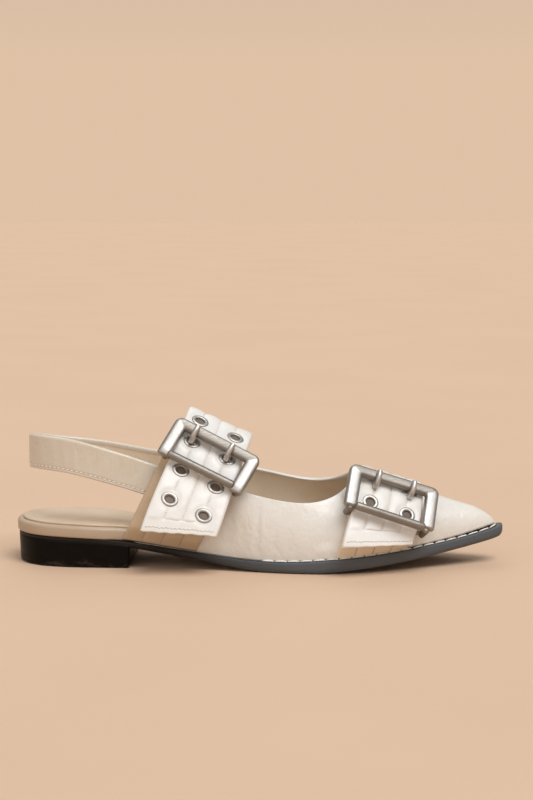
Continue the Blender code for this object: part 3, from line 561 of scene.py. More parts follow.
def pick(*pieces):
    """Only these pieces selected, and the first of them active."""
    bpy.ops.object.select_all(action="DESELECT")
    for piece in pieces:
        piece.select_set(True)
    if pieces:
        bpy.context.view_layer.objects.active = pieces[0]


def lay_grid(name, points, looks, paint=None):
    """A grid primitive laid out at points (rows, columns, 3) in millimetres, merged into one shell."""
    rows, columns = points.shape[:2]
    pick()
    bpy.ops.mesh.primitive_grid_add(x_subdivisions=columns - 1, y_subdivisions=rows - 1, size=1.0)
    piece = bpy.context.object
    piece.name = name
    mesh = piece.data
    mesh.name = name
    mesh.vertices.foreach_set("co", place(points).ravel())
    for look in looks:
        mesh.materials.append(look)
    if paint is not None:
        mesh.polygons.foreach_set("material_index", np.asarray(paint, int).ravel())
    mesh.update()
    bpy.ops.object.mode_set(mode="EDIT")
    bpy.ops.mesh.select_all(action="SELECT")
    bpy.ops.mesh.remove_doubles(threshold=MERGE)
    bpy.ops.mesh.normals_make_consistent(inside=False)
    bpy.ops.object.mode_set(mode="OBJECT")
    bpy.ops.object.shade_smooth()
    return piece


def on_shoe(piece, slot, *nodes):
    """The piece belongs to the shoe and stands for these nodes; the slot is not used."""
    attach(piece, "root")
    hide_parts(*nodes)
    print(piece.name, len(piece.data.polygons), "faces")
    return piece


def to_middle(loop, shares):
    """Rows from a closed loop in to its long middle line."""
    other_side = np.roll(loop[::-1], 1, axis=0)
    middle = (loop + other_side) / 2
    return [middle + share * (loop - middle) for share in shares]


def filled_loops(name, loops, looks, paint_rows=None):
    """A solid from closed loops, lowest first, filled in at top and bottom."""
    rows = to_middle(loops[0], FILL_SHARES)[::-1] + list(loops) + to_middle(loops[-1], FILL_SHARES)
    grid = np.stack([np.concatenate([row, row[:1]]) for row in rows])
    paint = None
    if paint_rows is not None:
        ends = len(FILL_SHARES)
        codes = [paint_rows[0]] * ends + list(paint_rows) + [paint_rows[-1]] * ends
        paint = np.repeat(np.array(codes)[:, None], grid.shape[1] - 1, axis=1)
    return lay_grid(name, grid, looks, paint)


print("helpers ready")

# %% [markdown]
# ## Sole and heel
# The sole is a thin slab with a bevelled lower edge, a trimmed upright edge and a narrow ledge on which the
# welt is stitched. Its edge is buffed lighter than its underside, so the two get different looks.

# %% Outsole
Edge = namedtuple("Edge", "inset share drop look")
SOLE_PROFILE = [
    Edge(3.0, 0.0, 0.0, 1),
    Edge(1.9, 0.0, 0.0, 1),
    Edge(1.3, 0.03, 0.0, 0),
    Edge(0.6, 0.16, 0.0, 0),
    Edge(0.2, 0.3, 0.0, 0),
    Edge(0.05, 0.41, 0.0, 0),
    Edge(0.0, 0.47, 0.0, 0),
    Edge(0.0, 0.7, 0.0, 0),
    Edge(0.0, 1.0, -0.7, 0),
    Edge(0.1, 1.0, -0.35, 0),
    Edge(0.3, 1.0, -0.1, 0),
    Edge(0.65, 1.0, 0.0, 0),
    Edge(1.1, 1.0, 0.0, 0),
    Edge(2.0, 1.0, -0.15, 0),
    Edge(3.2, 1.0, 0.0, 1),
    Edge(6.0, 1.0, 0.0, 1),
]


def sole_level(edge):
    def height(along):
        low = tread_bottom(along)
        return low + edge.share * (tread_top(along) - low) + edge.drop
    return level(outline(edge.inset), height)


outsole = filled_loops("outsole_edge", [sole_level(edge) for edge in SOLE_PROFILE], [SOLE_EDGE, SOLE_TREAD],
                       [edge.look for edge in SOLE_PROFILE[:-1]])
on_shoe(outsole, "sole_black", "outsole")

# %% [markdown]
# The heel is a low block that follows the sole's edge round the back and is cut straight across at its
# breast. It tapers a little to the floor, with small rounds on its corners. Its top covers the sole's
# bevel, so block and edge read as one black face, as in the photograph.

# %% Heel
HEEL_BREAST = 64.3
HEEL_TAPER = 0.5
HEEL_INSET = -0.04
HEEL_OVER = 1.3
HEEL_ROUND = 1.2
HEEL_CLEAR = 0.05
HEEL_TOP_INSET = 0.6
HEEL_TOP_RISE = 0.1
BREAST_ROUND = 1.4


def heel_loop(inset):
    """The sole's outline cut off at the breast, with rounded corners."""
    edge = outline(0.0)
    keep = edge[:, 0] < HEEL_BREAST - BREAST_ROUND - 0.5
    half = len(edge) // 2
    loop = outline(inset)
    breast = HEEL_BREAST - inset
    corners = {}
    for side in (LATERAL, MEDIAL):
        y = abs(np.interp(HEEL_BREAST, *plan_side(side, 200).T)) - inset
        turn = np.linspace(0.0, pi / 2, 6)
        corners[side] = np.stack([breast - BREAST_ROUND * (1.0 - np.sin(turn)),
                                  side * (y - BREAST_ROUND * (1.0 - np.cos(turn)))], axis=1)
    return np.concatenate([loop[:half][keep[:half]], corners[LATERAL], corners[MEDIAL][::-1],
                           loop[half:][keep[half:]]])


def heel_level(inset, share, lift=0.0):
    def height(along):
        return share * (tread_bottom(along) + HEEL_CLEAR) + lift
    return level(heel_loop(inset), height)


heel_rows = [heel_level(HEEL_INSET + HEEL_TAPER + HEEL_ROUND * (1.0 - np.sin(turn)), 0.0,
                        HEEL_ROUND * (1.0 - np.cos(turn))) for turn in np.linspace(0.0, pi / 2, 5)]
heel_rows += [heel_level(HEEL_INSET + HEEL_TAPER * (1.0 - share), share) for share in (0.25, 0.5, 0.75, 0.97)]
heel_rows += [heel_level(HEEL_INSET, 1.0, lift) for lift in (0.0, HEEL_OVER)]
heel_rows += [heel_level(HEEL_INSET + HEEL_TOP_INSET, 1.0, HEEL_OVER + HEEL_TOP_RISE)]
on_shoe(filled_loops("heel_block", heel_rows, [HEEL_BLACK]), "heel_black", "heel")

# %% [markdown]
# ## Footbed and sock
# The footbed is a thin board wrapped in leather, so its edge rolls over softly. At the heel it overhangs
# the sole by a millimetre, and inside the upper it is set in. A sock lies on it, set in by a narrow margin
# that shows as a fine groove.

# %% Footbed
GAP = 0.3
BED_ALONG = [0, 36, 49, 59, 68, 90, 125, 180, LENGTH]
BED_INSET = [-0.9, -0.9, -0.4, 2.7, 4.9, 5.0, 4.95, 4.7, 5.4]
BED_THICKNESS = [6.4, 6.1, 6.2, 6.3, 6.0, 5.0, 3.9, 3.2, 3.0]
BED_NOSE = 236.0
BED_TIP = 255.0
BED_POINT = 1.5
BED_ROLL = 2.4
ROLL_DROP = 1.8
BED_FOOT_ROUND = 0.9
BED_UNDER = 0.02
BED_CLEAR = 0.03
MARGIN_INSETS = (3.0, 6.0)
MARGIN_DEPTH = 0.35
bed_inset = spline(BED_ALONG, BED_INSET)
bed_thickness = spline(BED_ALONG, BED_THICKNESS)


def bed_top(along):
    return tread_top(along) + GAP + bed_thickness(along)


def bed_outline(inset):
    """Edge of the footbed, set in further and ending in a blunt point short of the toe."""
    loop = outline(lambda along: bed_inset(along) + inset)
    edge = outline(0.0)[:, 0]
    half = len(loop) // 2
    for side in (slice(0, half + 1), slice(half, None)):
        points = loop[side]
        order = np.argsort(edge[side])
        start = [np.interp(BED_NOSE, edge[side][order], points[order, k]) for k in (0, 1)]
        share = np.clip((edge[side] - BED_NOSE) / (LENGTH - BED_NOSE), 0.0, 1.0)
        nose = share > 0.0
        tip = BED_TIP - BED_POINT * inset
        points[nose, 0] = start[0] + (tip - start[0]) * share[nose]
        points[nose, 1] = start[1] * (1.0 - share[nose]**BED_POINT)
    return loop


def bed_level(inset, base, lift):
    """The footbed's edge, set in, at a lift over one of the shoe's heights."""
    return level(bed_outline(inset), lambda along: base(along) + lift)


bed_rows = [bed_level(BED_FOOT_ROUND, tread_top, BED_UNDER)]
for turn in np.linspace(0.0, pi / 2, 4):
    bed_rows.append(bed_level(BED_FOOT_ROUND * (1.0 - np.sin(turn)), tread_top,
                              BED_FOOT_ROUND * (1.0 - np.cos(turn)) + BED_CLEAR))
for turn in np.linspace(0.0, pi / 2, 8):
    bed_rows.append(bed_level(BED_ROLL * (1.0 - np.cos(turn)), bed_top, -ROLL_DROP * (1.0 - np.sin(turn))))
for inset in MARGIN_INSETS:
    bed_rows.append(bed_level(inset, bed_top, -MARGIN_DEPTH))
on_shoe(filled_loops("wrapped_footbed", bed_rows, [FOOTBED_IVORY_PAINTED_SHADE]), "footbed_ivory", "footbed")

# %% [markdown]
# The sock is a thin soft sheet glued onto the footbed. Its edge is the footbed's own outline, set in, so the
# same loops serve again, with a small round at the top.

# %% Sock
SOCK_INSET = 3.2
SOCK_THICKNESS = 1.1
SOCK_SUNK = 0.3
SOCK_ROUND = (0.8, 0.5)
sock_rows = [bed_level(SOCK_INSET, bed_top, -SOCK_SUNK)]
for turn in np.linspace(0.0, pi / 2, 6):
    sock_rows.append(bed_level(SOCK_INSET + SOCK_ROUND[0] * (1.0 - np.cos(turn)), bed_top,
                               SOCK_THICKNESS - SOCK_ROUND[1] * (1.0 - np.sin(turn))))
on_shoe(filled_loops("insole_sock_sheet", sock_rows, [SOCK_TAUPE]), "sock_lining", "insole_sock")

# %% [markdown]
# ## Upper
# The upper is one sheet pulled over the last, from the back of the outer quarter round the toe to the back
# of the inner one. It could be a lofted solid, but a sheet with its own wall lets the topline roll over and
# the lining have its own look. Its creases are listed one by one: a few soft troughs where it flexes.

# %% Shape of the upper
QUARTER_FOOT = 66.0
UPPER_COLUMNS = 110
UPPER_ROWS = 44
FOOT_CROWD = 0.35
RIDGE_CROWD = 0.45
TOPLINE = {
    LATERAL: [(181, 43.2), (175, 40.1), (165, 37.5), (153, 37.4),
              (138, 39.6), (122, 43.3), (105, 48.5), (86, 55.0)],
    MEDIAL: [(182.5, 46.0), (177, 43.2), (167, 41.2), (155, 42.2),
             (140, 45.6), (122, 49.4), (105, 53.0), (86, 57.0)],
}


def girth(along, side):
    return np.hypot(feather_half(along, side), ridge_rise(along))


def upper_side(side):
    """Outer face on one side: columns from toe to heel, rows from the foot to the topline."""
    across = np.linspace(0.0, 1.0, UPPER_COLUMNS + 1)
    up = np.linspace(0.0, 1.0, UPPER_ROWS + 1)
    edge = FEATHER_LOOP[(FEATHER_LOOP[:, 1] * side >= 0.0) & (FEATHER_LOOP[:, 0] >= QUARTER_FOOT)]
    edge = edge[np.argsort(-edge[:, 0])]
    run = run_of(edge)
    crowded = FOOT_CROWD * across**2 + (1.0 - FOOT_CROWD) * across
    foot_along = np.interp(crowded * run[-1], run, edge[:, 0])
    foot_along[0] = TIP
    foot = np.stack([foot_along, girth(foot_along, side)], axis=1)

    top_along, top_height = np.array(TOPLINE[side], float).T
    top_climb = climb_to(top_along, top_height)
    open_edge = np.stack([top_along, (1.0 - top_climb) * girth(top_along, side)], axis=1)
    mirrored = open_edge[1::-1] * (1.0, -1.0)
    dense = path_through(np.concatenate([mirrored, [(THROAT, 0.0)], open_edge]), 1200)
    top = path_through(dense[dense[:, 1] >= 0.0][::8], UPPER_COLUMNS + 1)
    top[0] = (THROAT, 0.0)

    ridge_along = TIP + (THROAT - TIP) * (RIDGE_CROWD * up**2 + (1.0 - RIDGE_CROWD) * up)
    ridge = np.stack([ridge_along, np.zeros_like(up)], axis=1)
    back_edge = foot[-1] + (top[-1] - foot[-1]) * up[:, None]
    s = across[:, None, None]
    t = up[None, :, None]
    ruled = (1 - t) * foot[:, None] + t * top[:, None] + (1 - s) * ridge[None] + s * back_edge[None]
    corners = ((1 - s) * (1 - t) * foot[0] + s * (1 - t) * foot[-1] + (1 - s) * t * top[0] + s * t * top[-1])
    flat = ruled - corners
    along = np.minimum(flat[..., 0], TIP)
    climb = 1.0 - flat[..., 1] / np.maximum(girth(along, side), 1e-6)
    points = last_point(along, climb, side)
    points[0] = last_point(ridge_along, np.ones_like(up), side)
    points[0, 0] = last_point(np.array([TIP]), np.zeros(1), side)[0]
    return points


def sheet_normals(points):
    normal = np.cross(np.gradient(points, axis=0), np.gradient(points, axis=1))
    return normal / np.maximum(np.linalg.norm(normal, axis=-1), 1e-9)[..., None]


upper_sheet = np.concatenate([upper_side(LATERAL)[::-1], upper_side(MEDIAL)[1:]])
upper_normal = sheet_normals(upper_sheet)
print("upper sheet", upper_sheet.shape)

# %% [markdown]
# Leather creases where the foot bends it. Sculpting could do this, but a crease that is told by its place,
# lean, depth and width can be set against the photograph. Each is a soft trough, or a ridge, on the sheet.

# %% Creases placed one by one
Crease = namedtuple("Crease", "side along lean low high depth width")
CREASES = [
    Crease(LATERAL, 134.0, 0.05, 8, 36, -0.5, 1.1),
    Crease(LATERAL, 136.6, 0.05, 8, 34, 0.35, 1.4),
    Crease(LATERAL, 119.0, 0.10, 10, 34, -0.36, 1.5),
    Crease(LATERAL, 126.0, -0.04, 9, 30, -0.32, 1.2),
    Crease(LATERAL, 129.5, 0.12, 12, 26, -0.26, 0.9),
    Crease(LATERAL, 143.5, 0.08, 8, 28, -0.3, 1.4),
    Crease(LATERAL, 148.0, -0.10, 10, 22, -0.22, 1.0),
    Crease(LATERAL, 152.0, 0.10, 8, 26, -0.26, 1.8),
    Crease(LATERAL, 172.5, 0.18, 12, 42, -1.1, 4.5),
    Crease(MEDIAL, 137.0, 0.06, 8, 38, -0.4, 1.3),
    Crease(MEDIAL, 146.0, 0.05, 8, 34, -0.3, 1.6),
    Crease(MEDIAL, 124.0, -0.05, 9, 36, -0.3, 1.5),
    Crease(MEDIAL, 173.5, 0.15, 12, 42, -0.8, 4.5),
]
LEAN_HEIGHT = 20.0
FADE_LOW = 6.0
FADE_HIGH = 8.0
FADE_SIDE = 10.0


def crease_depth(points):
    """How far the creases move each point out of the sheet."""
    along, y, z = points[..., 0], points[..., 1], points[..., 2]
    depth = np.zeros_like(along)
    for crease in CREASES:
        line = crease.along + crease.lean * (z - LEAN_HEIGHT)
        window = ease((z - crease.low) / FADE_LOW) * ease((crease.high - z) / FADE_HIGH)
        side = ease(0.5 + crease.side * y / FADE_SIDE)
        depth += crease.depth * window * side * np.exp(-((along - line) / crease.width)**2)
    return depth


creased_sheet = upper_sheet + upper_normal * crease_depth(upper_sheet)[..., None]
print("deepest crease", round(float(crease_depth(upper_sheet).min()), 2), "mm")

# %% [markdown]
# The wall is then closed round: up the outside, over the topline in a small roll, down the lining, and
# back under the foot. The outer leather is folded in over the topline as a narrow facing, a little proud
# of the lining. In the toe, where the sheet is bent sharply, the lining is drawn towards a line down the
# middle of the toe, because offsets along the normals would cross there.

# %% Upper with facing and lining
UPPER_WALL = 1.8
TIP_WALL = 1.2
THIN_TIP = 6.0
THINNING = 30.0
TIP_BACK = 3.0
TIP_ZONE = 16.0
TOE_ZONE = 20.0
TOE_CORE = 0.35
FACING = 2.6
FACING_PROUD = 0.3
FACING_STEP = 0.4
TUCK = 1.0

toe_along = upper_sheet[..., 0]
wall = TIP_WALL + (UPPER_WALL - TIP_WALL) * ease((TIP - THIN_TIP - toe_along) / THINNING)
wall[[0, -1]] = 0.0
wall = wall[..., None]
steps = np.linalg.norm(np.diff(upper_sheet, axis=1), axis=2)
below_top = np.concatenate([np.cumsum(steps[:, ::-1], axis=1)[:, ::-1], np.zeros((len(steps), 1))], axis=1)
recess = FACING_PROUD * ease((below_top - FACING) / FACING_STEP)[..., None]
core_height = feather(toe_along) + TOE_CORE * ridge_rise(toe_along)
core = np.stack([toe_along, last_ridge_y(toe_along), core_height], axis=-1)
to_core = np.linalg.norm(core - upper_sheet, axis=-1)[..., None]
in_toe = ease((toe_along - TIP) / TOE_ZONE + 3.0)[..., None]
inward = (1.0 - in_toe) * -upper_normal + in_toe * (core - upper_sheet) / np.maximum(to_core, 1e-6)
depth = np.maximum(wall - recess, np.minimum(wall, TIP_WALL))
lining = upper_sheet + inward * ((1.0 - in_toe) * depth + in_toe * np.minimum(depth, 0.5 * to_core))
lining[..., 0] -= TIP_BACK * ease((lining[..., 0] - TIP) / TIP_ZONE + 1.0)
rising = unit(upper_sheet[:, -1] - upper_sheet[:, -2])
edge_middle = (creased_sheet[:, -1] + lining[:, -1]) / 2
edge_half = (creased_sheet[:, -1] - lining[:, -1]) / 2
edge_rise = rising * wall[:, -1] / 2
roll = [edge_middle + edge_half * np.cos(turn) + edge_rise * np.sin(turn)
        for turn in np.linspace(0.0, pi, 9)[1:-1]]
tucked = creased_sheet[:, 0] - (0.0, 0.0, TUCK)
rows = [tucked, *creased_sheet.transpose(1, 0, 2), *roll, *lining.transpose(1, 0, 2)[::-1], tucked]
inner_start = 1 + UPPER_ROWS + 1 + len(roll)
facing_share = below_top[:, ::-1].T
paint = np.zeros((len(rows) - 1, len(upper_sheet) - 1), int)
for j in range(UPPER_ROWS):
    paint[inner_start + j] = facing_share[j + 1, :-1] > FACING
paint[inner_start + UPPER_ROWS:] = 1
upper_leather = lay_grid("upper_leather", np.stack(rows), [UPPER_IVORY, LINING_TAUPE], paint)
on_shoe(upper_leather, "upper_ivory", "upper")

# %% [markdown]
# ## Slingback
# The slingback is a soft strap that runs from inside one quarter round the heel to the other. It is a
# folded strip: leather outside, lining inside, the leather turned in along the upper edge, and a row of
# stitches just above the lower edge. Each line of its table tells a place along and across, the height of the
# lower edge, how tall the strap is there and how far it leans in.

# %% Slingback strap
SLING = [
    (92, -23.0, 34.0, 17.5, 3.0), (80, -23.4, 37.2, 18.0, 2.9), (65, -24.9, 42.2, 18.4, 1.6),
    (48, -24.9, 47.0, 18.7, 0.8), (33, -22.6, 50.4, 19.0, 0.4), (20, -18.0, 51.8, 18.9, 0.0),
    (10.5, -10.5, 51.8, 18.8, 0.0), (7, 0.0, 51.0, 18.5, 0.0), (10.5, 10.5, 49.6, 18.5, 0.0),
    (20, 17.5, 47.8, 18.4, 0.0), (33, 21.2, 46.0, 18.4, 0.4), (48, 22.2, 44.0, 18.4, 0.8),
    (65, 20.8, 41.4, 18.2, 1.4), (80, 18.9, 39.4, 18.0, 1.8), (92, 17.7, 37.6, 17.5, 1.8),
]
SLING_THICKNESS = 2.4
SLING_HEIGHT = 18.5
SLING_EDGE = 1.1
SLING_STEPS = 220
SLING_EDGE_ROW = 1.8
ROW_GROOVE = 0.3
ROW_GROOVE_WIDTH = 0.7
RIPPLE = 0.16
RIPPLE_FADE = 7.0


def nose(distance, radius):
    """Fullness of a rounded edge, from 0 at the edge itself to 1 past its radius."""
    return np.sqrt(1.0 - np.clip(1.0 - distance / radius, 0.0, 1.0)**2)


def edge_places(width, radius, middle_count):
    """Places across a strip, close together in its rounded edges."""
    turn = np.linspace(0.0, pi / 2, 6)
    edge = radius * (1.0 - np.cos(turn))
    return np.r_[edge, np.linspace(radius, width - radius, middle_count)[1:-1], width - edge[::-1]]


sling_path = path_through(SLING, SLING_STEPS + 1)
sling_x, sling_y, sling_low, sling_tall, sling_lean = (sling_path[:, k:k + 1] for k in range(5))
sling_run = run_of(sling_path[:, :2])
ahead = unit(np.gradient(sling_path[:, :2], axis=0))
sling_out = np.stack([-ahead[:, 1], ahead[:, 0], np.zeros(len(ahead))], axis=1)
height_share = edge_places(SLING_HEIGHT, SLING_EDGE, 36) / SLING_HEIGHT
rise = height_share[None] * sling_tall
lean = -sling_lean * (height_share[None] - 0.5)
upright = np.stack(np.broadcast_arrays(sling_x, sling_y, sling_low + rise), axis=-1)
sling_middle = upright + sling_out[:, None] * lean[..., None]
from_top = sling_tall - rise
to_end = np.minimum(sling_run, sling_run[-1] - sling_run)
full = nose(np.minimum(rise, from_top), SLING_EDGE) * nose(to_end, 1.0)[:, None]
groove = ROW_GROOVE * np.exp(-((rise - SLING_EDGE_ROW) / ROW_GROOVE_WIDTH)**2)
waves = np.sin(sling_run * 0.9 + 1.3 * np.sin(sling_run * 0.21))[:, None]
ripple = RIPPLE * waves * ease(rise / RIPPLE_FADE) * ease(from_top / RIPPLE_FADE)
sling_recess = FACING_PROUD * ease((from_top - FACING) / FACING_STEP)
half = SLING_THICKNESS / 2
sling_outer = sling_middle + sling_out[:, None] * (full * (half - groove + 0.5 * ripple))[..., None]
sling_inner = sling_middle - sling_out[:, None] * (full * (half - sling_recess))[..., None]
ring = np.concatenate([sling_outer, sling_inner[:, ::-1], sling_outer[:, :1]], axis=1)
count = len(height_share)
paint = np.zeros((len(ring) - 1, ring.shape[1] - 1), int)
inner_columns = np.minimum(np.arange(paint.shape[1] - count) + 1, count - 1)
paint[:, count:] = (from_top[:-1, ::-1] > FACING)[:, inner_columns]
slingback = lay_grid("slingback_leather", ring, [SLING_IVORY_PAINTED_SHADE, LINING_TAUPE], paint)
on_shoe(slingback, "sling_ivory", "slingback_strap")

# %% [markdown]
# ## Bands and straps
# Each buckle is held by a short quilted band that comes up from the sole. The strap itself comes up from
# the sole on the inner side, crosses the foot and runs down through the buckle to its free end. All of
# them lie on the last, so a place on one is told by its place across and its place round the last. A band
# is told by where its middle line would start on the floor, its lean, its width and how its ends slant.

# %% Places on a strap
Band = namedtuple("Band", "name start lean width thickness slant")
INSTEP_BASE = Band("instep_base_band", 74.2, 26.0, 39.0, 2.4, -0.0017)
INSTEP_STRAP = Band("instep_strap", 86.5, 18.5, 38.2, 2.6, -0.0017)
TOE_BASE = Band("toe_base_band", 192.8, 15.6, 36.0, 2.4, -0.0044)
TOE_STRAP = Band("toe_strap", 193.0, 15.6, 35.4, 2.6, -0.0044)
SLANT_REACH = 0.4
FIRST_HEIGHT = 40.0
HEIGHT_ROUNDS = 14


def around_last(along, around):
    """Point of the last at a place round it: -1 lateral foot, 0 ridge, 1 medial foot."""
    climb = 1.0 - np.abs(around)
    return np.where((np.asarray(around) < 0.0)[..., None], last_point(along, climb, LATERAL),
                    last_point(along, climb, MEDIAL))


def on_band(band, across, around):
    """Point of the last under a band: across is measured from its middle line.

    A leaning band's place along depends on its height, and that on its place along, so both are found
    together in a few rounds.
    """
    slope = np.tan(np.radians(band.lean))
    across, around = np.broadcast_arrays(np.asarray(across, float), np.asarray(around, float))
    around = around - np.clip(around / SLANT_REACH, -1.0, 1.0) * band.slant * across
    base = band.start + across / np.cos(np.radians(band.lean))
    along = base + FIRST_HEIGHT * slope
    for _ in range(HEIGHT_ROUNDS):
        along = base + slope * around_last(along, around)[..., 2]
    return around_last(along, around)


def band_frame(band, across, around):
    """Point, direction across and outward normal on the last."""
    point = on_band(band, across, around)
    over = on_band(band, across + 0.5, around) - on_band(band, across - 0.5, around)
    rise = on_band(band, across, around + 0.01) - on_band(band, across, around - 0.01)
    return point, over, unit(np.cross(over, rise))


def lifted(band, across, around, lift):
    point, _, normal = band_frame(band, across, around)
    return point + normal * np.asarray(lift, float)[..., None]


def around_at(band, across, height):
    """Place round the lateral side where a band's line passes a height."""
    along = band.start + across / np.cos(np.radians(band.lean)) + np.tan(np.radians(band.lean)) * height
    return climb_to(along, height) - 1.0 - band.slant * across


print("instep strap crosses the ridge at", on_band(INSTEP_STRAP, 0.0, 0.0).round(1))

# %% [markdown]
# A buckle is told by where its lower and upper bars stand over the last. From those come its own three
# directions: along the bars, up from bar to bar, and out. The strap is lifted to pass between the lower
# bar in front of it and the hinge bar behind it.

# %% Buckle places and strap lifts
Buckle = namedtuple("Buckle", "name low low_lift high high_lift twist arm_end pinned_row")
INSTEP_BUCKLE = Buckle("instep_buckle", -0.558, 11.8, -0.366, 10.6, -8.6, 2.2, 1)
TOE_BUCKLE = Buckle("toe_buckle", -0.692, 12.0, -0.405, 12.8, 0.0, 0.0, 0)
LOWER_BAR_RADIUS = 1.7
HINGE_BAR_RADIUS = 1.3
HINGE_DROP = 7.5
BRIDGE = 0.11
LIFT_INSTEP = [(-0.95, 25.0), (-0.87, 21.0), (-0.76, 15.2), (-0.67, 10.6), (-0.57, 6.9), (-0.49, 5.4),
               (-0.41, 3.2), (-0.34, 1.8), (-0.20, 0.9), (0.0, 0.6), (0.5, 0.5), (1.0, 0.5)]
LIFT_TOE = [(-0.95, 11.6), (-0.85, 8.6), (-0.78, 6.9), (-0.70, 6.5), (-0.60, 6.6), (-0.48, 6.5),
            (-0.38, 6.2), (-0.27, 4.0), (-0.10, 1.4), (0.1, 0.6), (0.5, 0.5), (1.0, 0.5)]
INSTEP_CREST = 2.4
TOE_CREST = 0.0
CREST_PLACE = -0.1
CREST_SPREAD = 0.2
BUCKLED = ((INSTEP_BUCKLE, INSTEP_STRAP), (TOE_BUCKLE, TOE_STRAP))


def buckle_axes(buckle, band):
    """Middle of the lower bar, then the directions along the bars, up and outwards, and the reach."""
    low = lifted(band, 0.0, buckle.low, buckle.low_lift)
    high = lifted(band, 0.0, buckle.high, buckle.high_lift)
    up = Vector(high - low)
    reach = up.length
    up.normalize()
    bar = Vector(band_frame(band, 0.0, (buckle.low + buckle.high) / 2)[1])
    bar -= up * bar.dot(up)
    bar.normalize()
    out = bar.cross(up)
    spin = Matrix.Rotation(np.radians(buckle.twist), 3, out)
    return np.array(low), np.array(spin @ bar), np.array(spin @ up), np.array(out), reach


def strap_lift(band, table, buckle, crest):
    """Lift of a strap's inner face: straight between the bars, and higher at the rear of its crest."""
    rest = spline(*zip(*table))
    low, bar, _, out, _ = buckle_axes(buckle, band)
    places = np.linspace(-band.width / 2, band.width / 2, 9)
    middle = buckle.low - BRIDGE / 4
    point, _, normal = band_frame(band, places, np.full_like(places, middle))
    between = low - out * (HINGE_DROP - HINGE_BAR_RADIUS + LOWER_BAR_RADIUS) / 2 + places[:, None] * bar
    height = np.sum((between - point) * normal, axis=1) - band.thickness / 2
    bridge = spline(places, height - rest(middle))

    def lift(across, around):
        rear_share = np.clip(0.5 - across / band.width, 0.0, 1.0)
        raised = crest * rear_share * np.exp(-((around - CREST_PLACE) / CREST_SPREAD)**2)
        return rest(around) + raised + np.exp(-((around - middle) / BRIDGE)**2) * bridge(across)

    return lift


instep_lift = strap_lift(INSTEP_STRAP, LIFT_INSTEP, INSTEP_BUCKLE, INSTEP_CREST)
toe_lift = strap_lift(TOE_STRAP, LIFT_TOE, TOE_BUCKLE, TOE_CREST)
print("buckle reach", [round(buckle_axes(*pair)[4], 1) for pair in BUCKLED])

# %% [markdown]
# Eyelets sit two by two down the strap. Their centres and axes are worked out first, because the quilting
# is pressed flat under each one.

# %% Eyelet places
INSTEP_ROWS = [-0.198, -0.416, -0.609, -0.758]
TOE_ROWS = [-0.385, -0.622]
EYELET_SPACING = {"instep_strap": 21.2, "toe_strap": 19.6}


def eyelet_places(band, rows, lift):
    """Centre, axis and direction across of each eyelet on the strap's outer face."""
    def outer(across, around):
        return lifted(band, across, around, lift(across, around) + band.thickness)

    places = []
    for around in rows:
        for across in (-EYELET_SPACING[band.name] / 2, EYELET_SPACING[band.name] / 2):
            over = outer(across + 2.0, around) - outer(across - 2.0, around)
            rise = outer(across, around + 0.03) - outer(across, around - 0.03)
            places.append((outer(across, around), unit(np.cross(over, rise)), unit(over)))
    return places


instep_eyelets = eyelet_places(INSTEP_STRAP, INSTEP_ROWS, instep_lift)
toe_eyelets = eyelet_places(TOE_STRAP, TOE_ROWS, toe_lift)
print(len(instep_eyelets) + len(toe_eyelets), "eyelets")

# %% [markdown]
# The quilting is four puffed channels with three sewn grooves between them. A bump map could fake it, but
# the channels show in the outline where a strap crosses the foot, so they are modelled. Near the free end
# the grooves stop at a cross seam, and the last few millimetres are plain.

# %% Quilted strips
CHANNELS = 4
PUFF = 0.62
GROOVE_DEPTH = 0.34
GROOVE_WIDTH = 0.5
PLAIN_PUFF = 0.45
CROSS_DEPTH = 0.8
CROSS_REACH = 1.15
FLAT_RADIUS = 5.9
PRESS_DEPTH = 0.12
PRESS_RADIUS = 5.3
PRESS_WIDTH = 0.9
STRIP_EDGE = 1.15
FOOT_TAPER = 9.0
Flare = namedtuple("Flare", "rear middle front fade")
Strip = namedtuple("Strip", "outer normal across run")


def quilting(band, seam_start, eyelets):
    """How far a strip's outer face swells, as a function of the place on it."""
    channel = band.width / CHANNELS

    def swell(across, run, points):
        spot = across / channel + CHANNELS / 2
        number = np.floor(spot)
        within = spot - number
        to_seam = np.minimum(within, 1.0 - within) * channel
        inner_seam = ease((spot - 0.5) / 0.2) * ease((CHANNELS - 0.5 - spot) / 0.2)
        sewn = ease((run - seam_start + 1.0) / 2.0)
        breathing = 1.0 + 0.16 * np.sin(0.31 * run + 2.4 * number) + 0.1 * np.sin(0.83 * run + number)
        puff = PUFF * breathing * (np.sin(pi * within)**0.75 * sewn + PLAIN_PUFF * (1.0 - sewn))
        puff -= GROOVE_DEPTH * np.exp(-(to_seam / GROOVE_WIDTH)**2) * inner_seam * sewn
        on_cross = ease((CROSS_REACH * channel - abs(across)) / 1.5)
        puff -= CROSS_DEPTH * GROOVE_DEPTH * np.exp(-((run - seam_start) / GROOVE_WIDTH)**2) * on_cross
        for centre, _, _ in eyelets:
            away = np.linalg.norm(points - centre, axis=-1)
            puff *= 1.0 - np.exp(-(away / FLAT_RADIUS)**6)
            puff -= PRESS_DEPTH * np.exp(-((away - PRESS_RADIUS) / PRESS_WIDTH)**2)
        return puff

    return swell


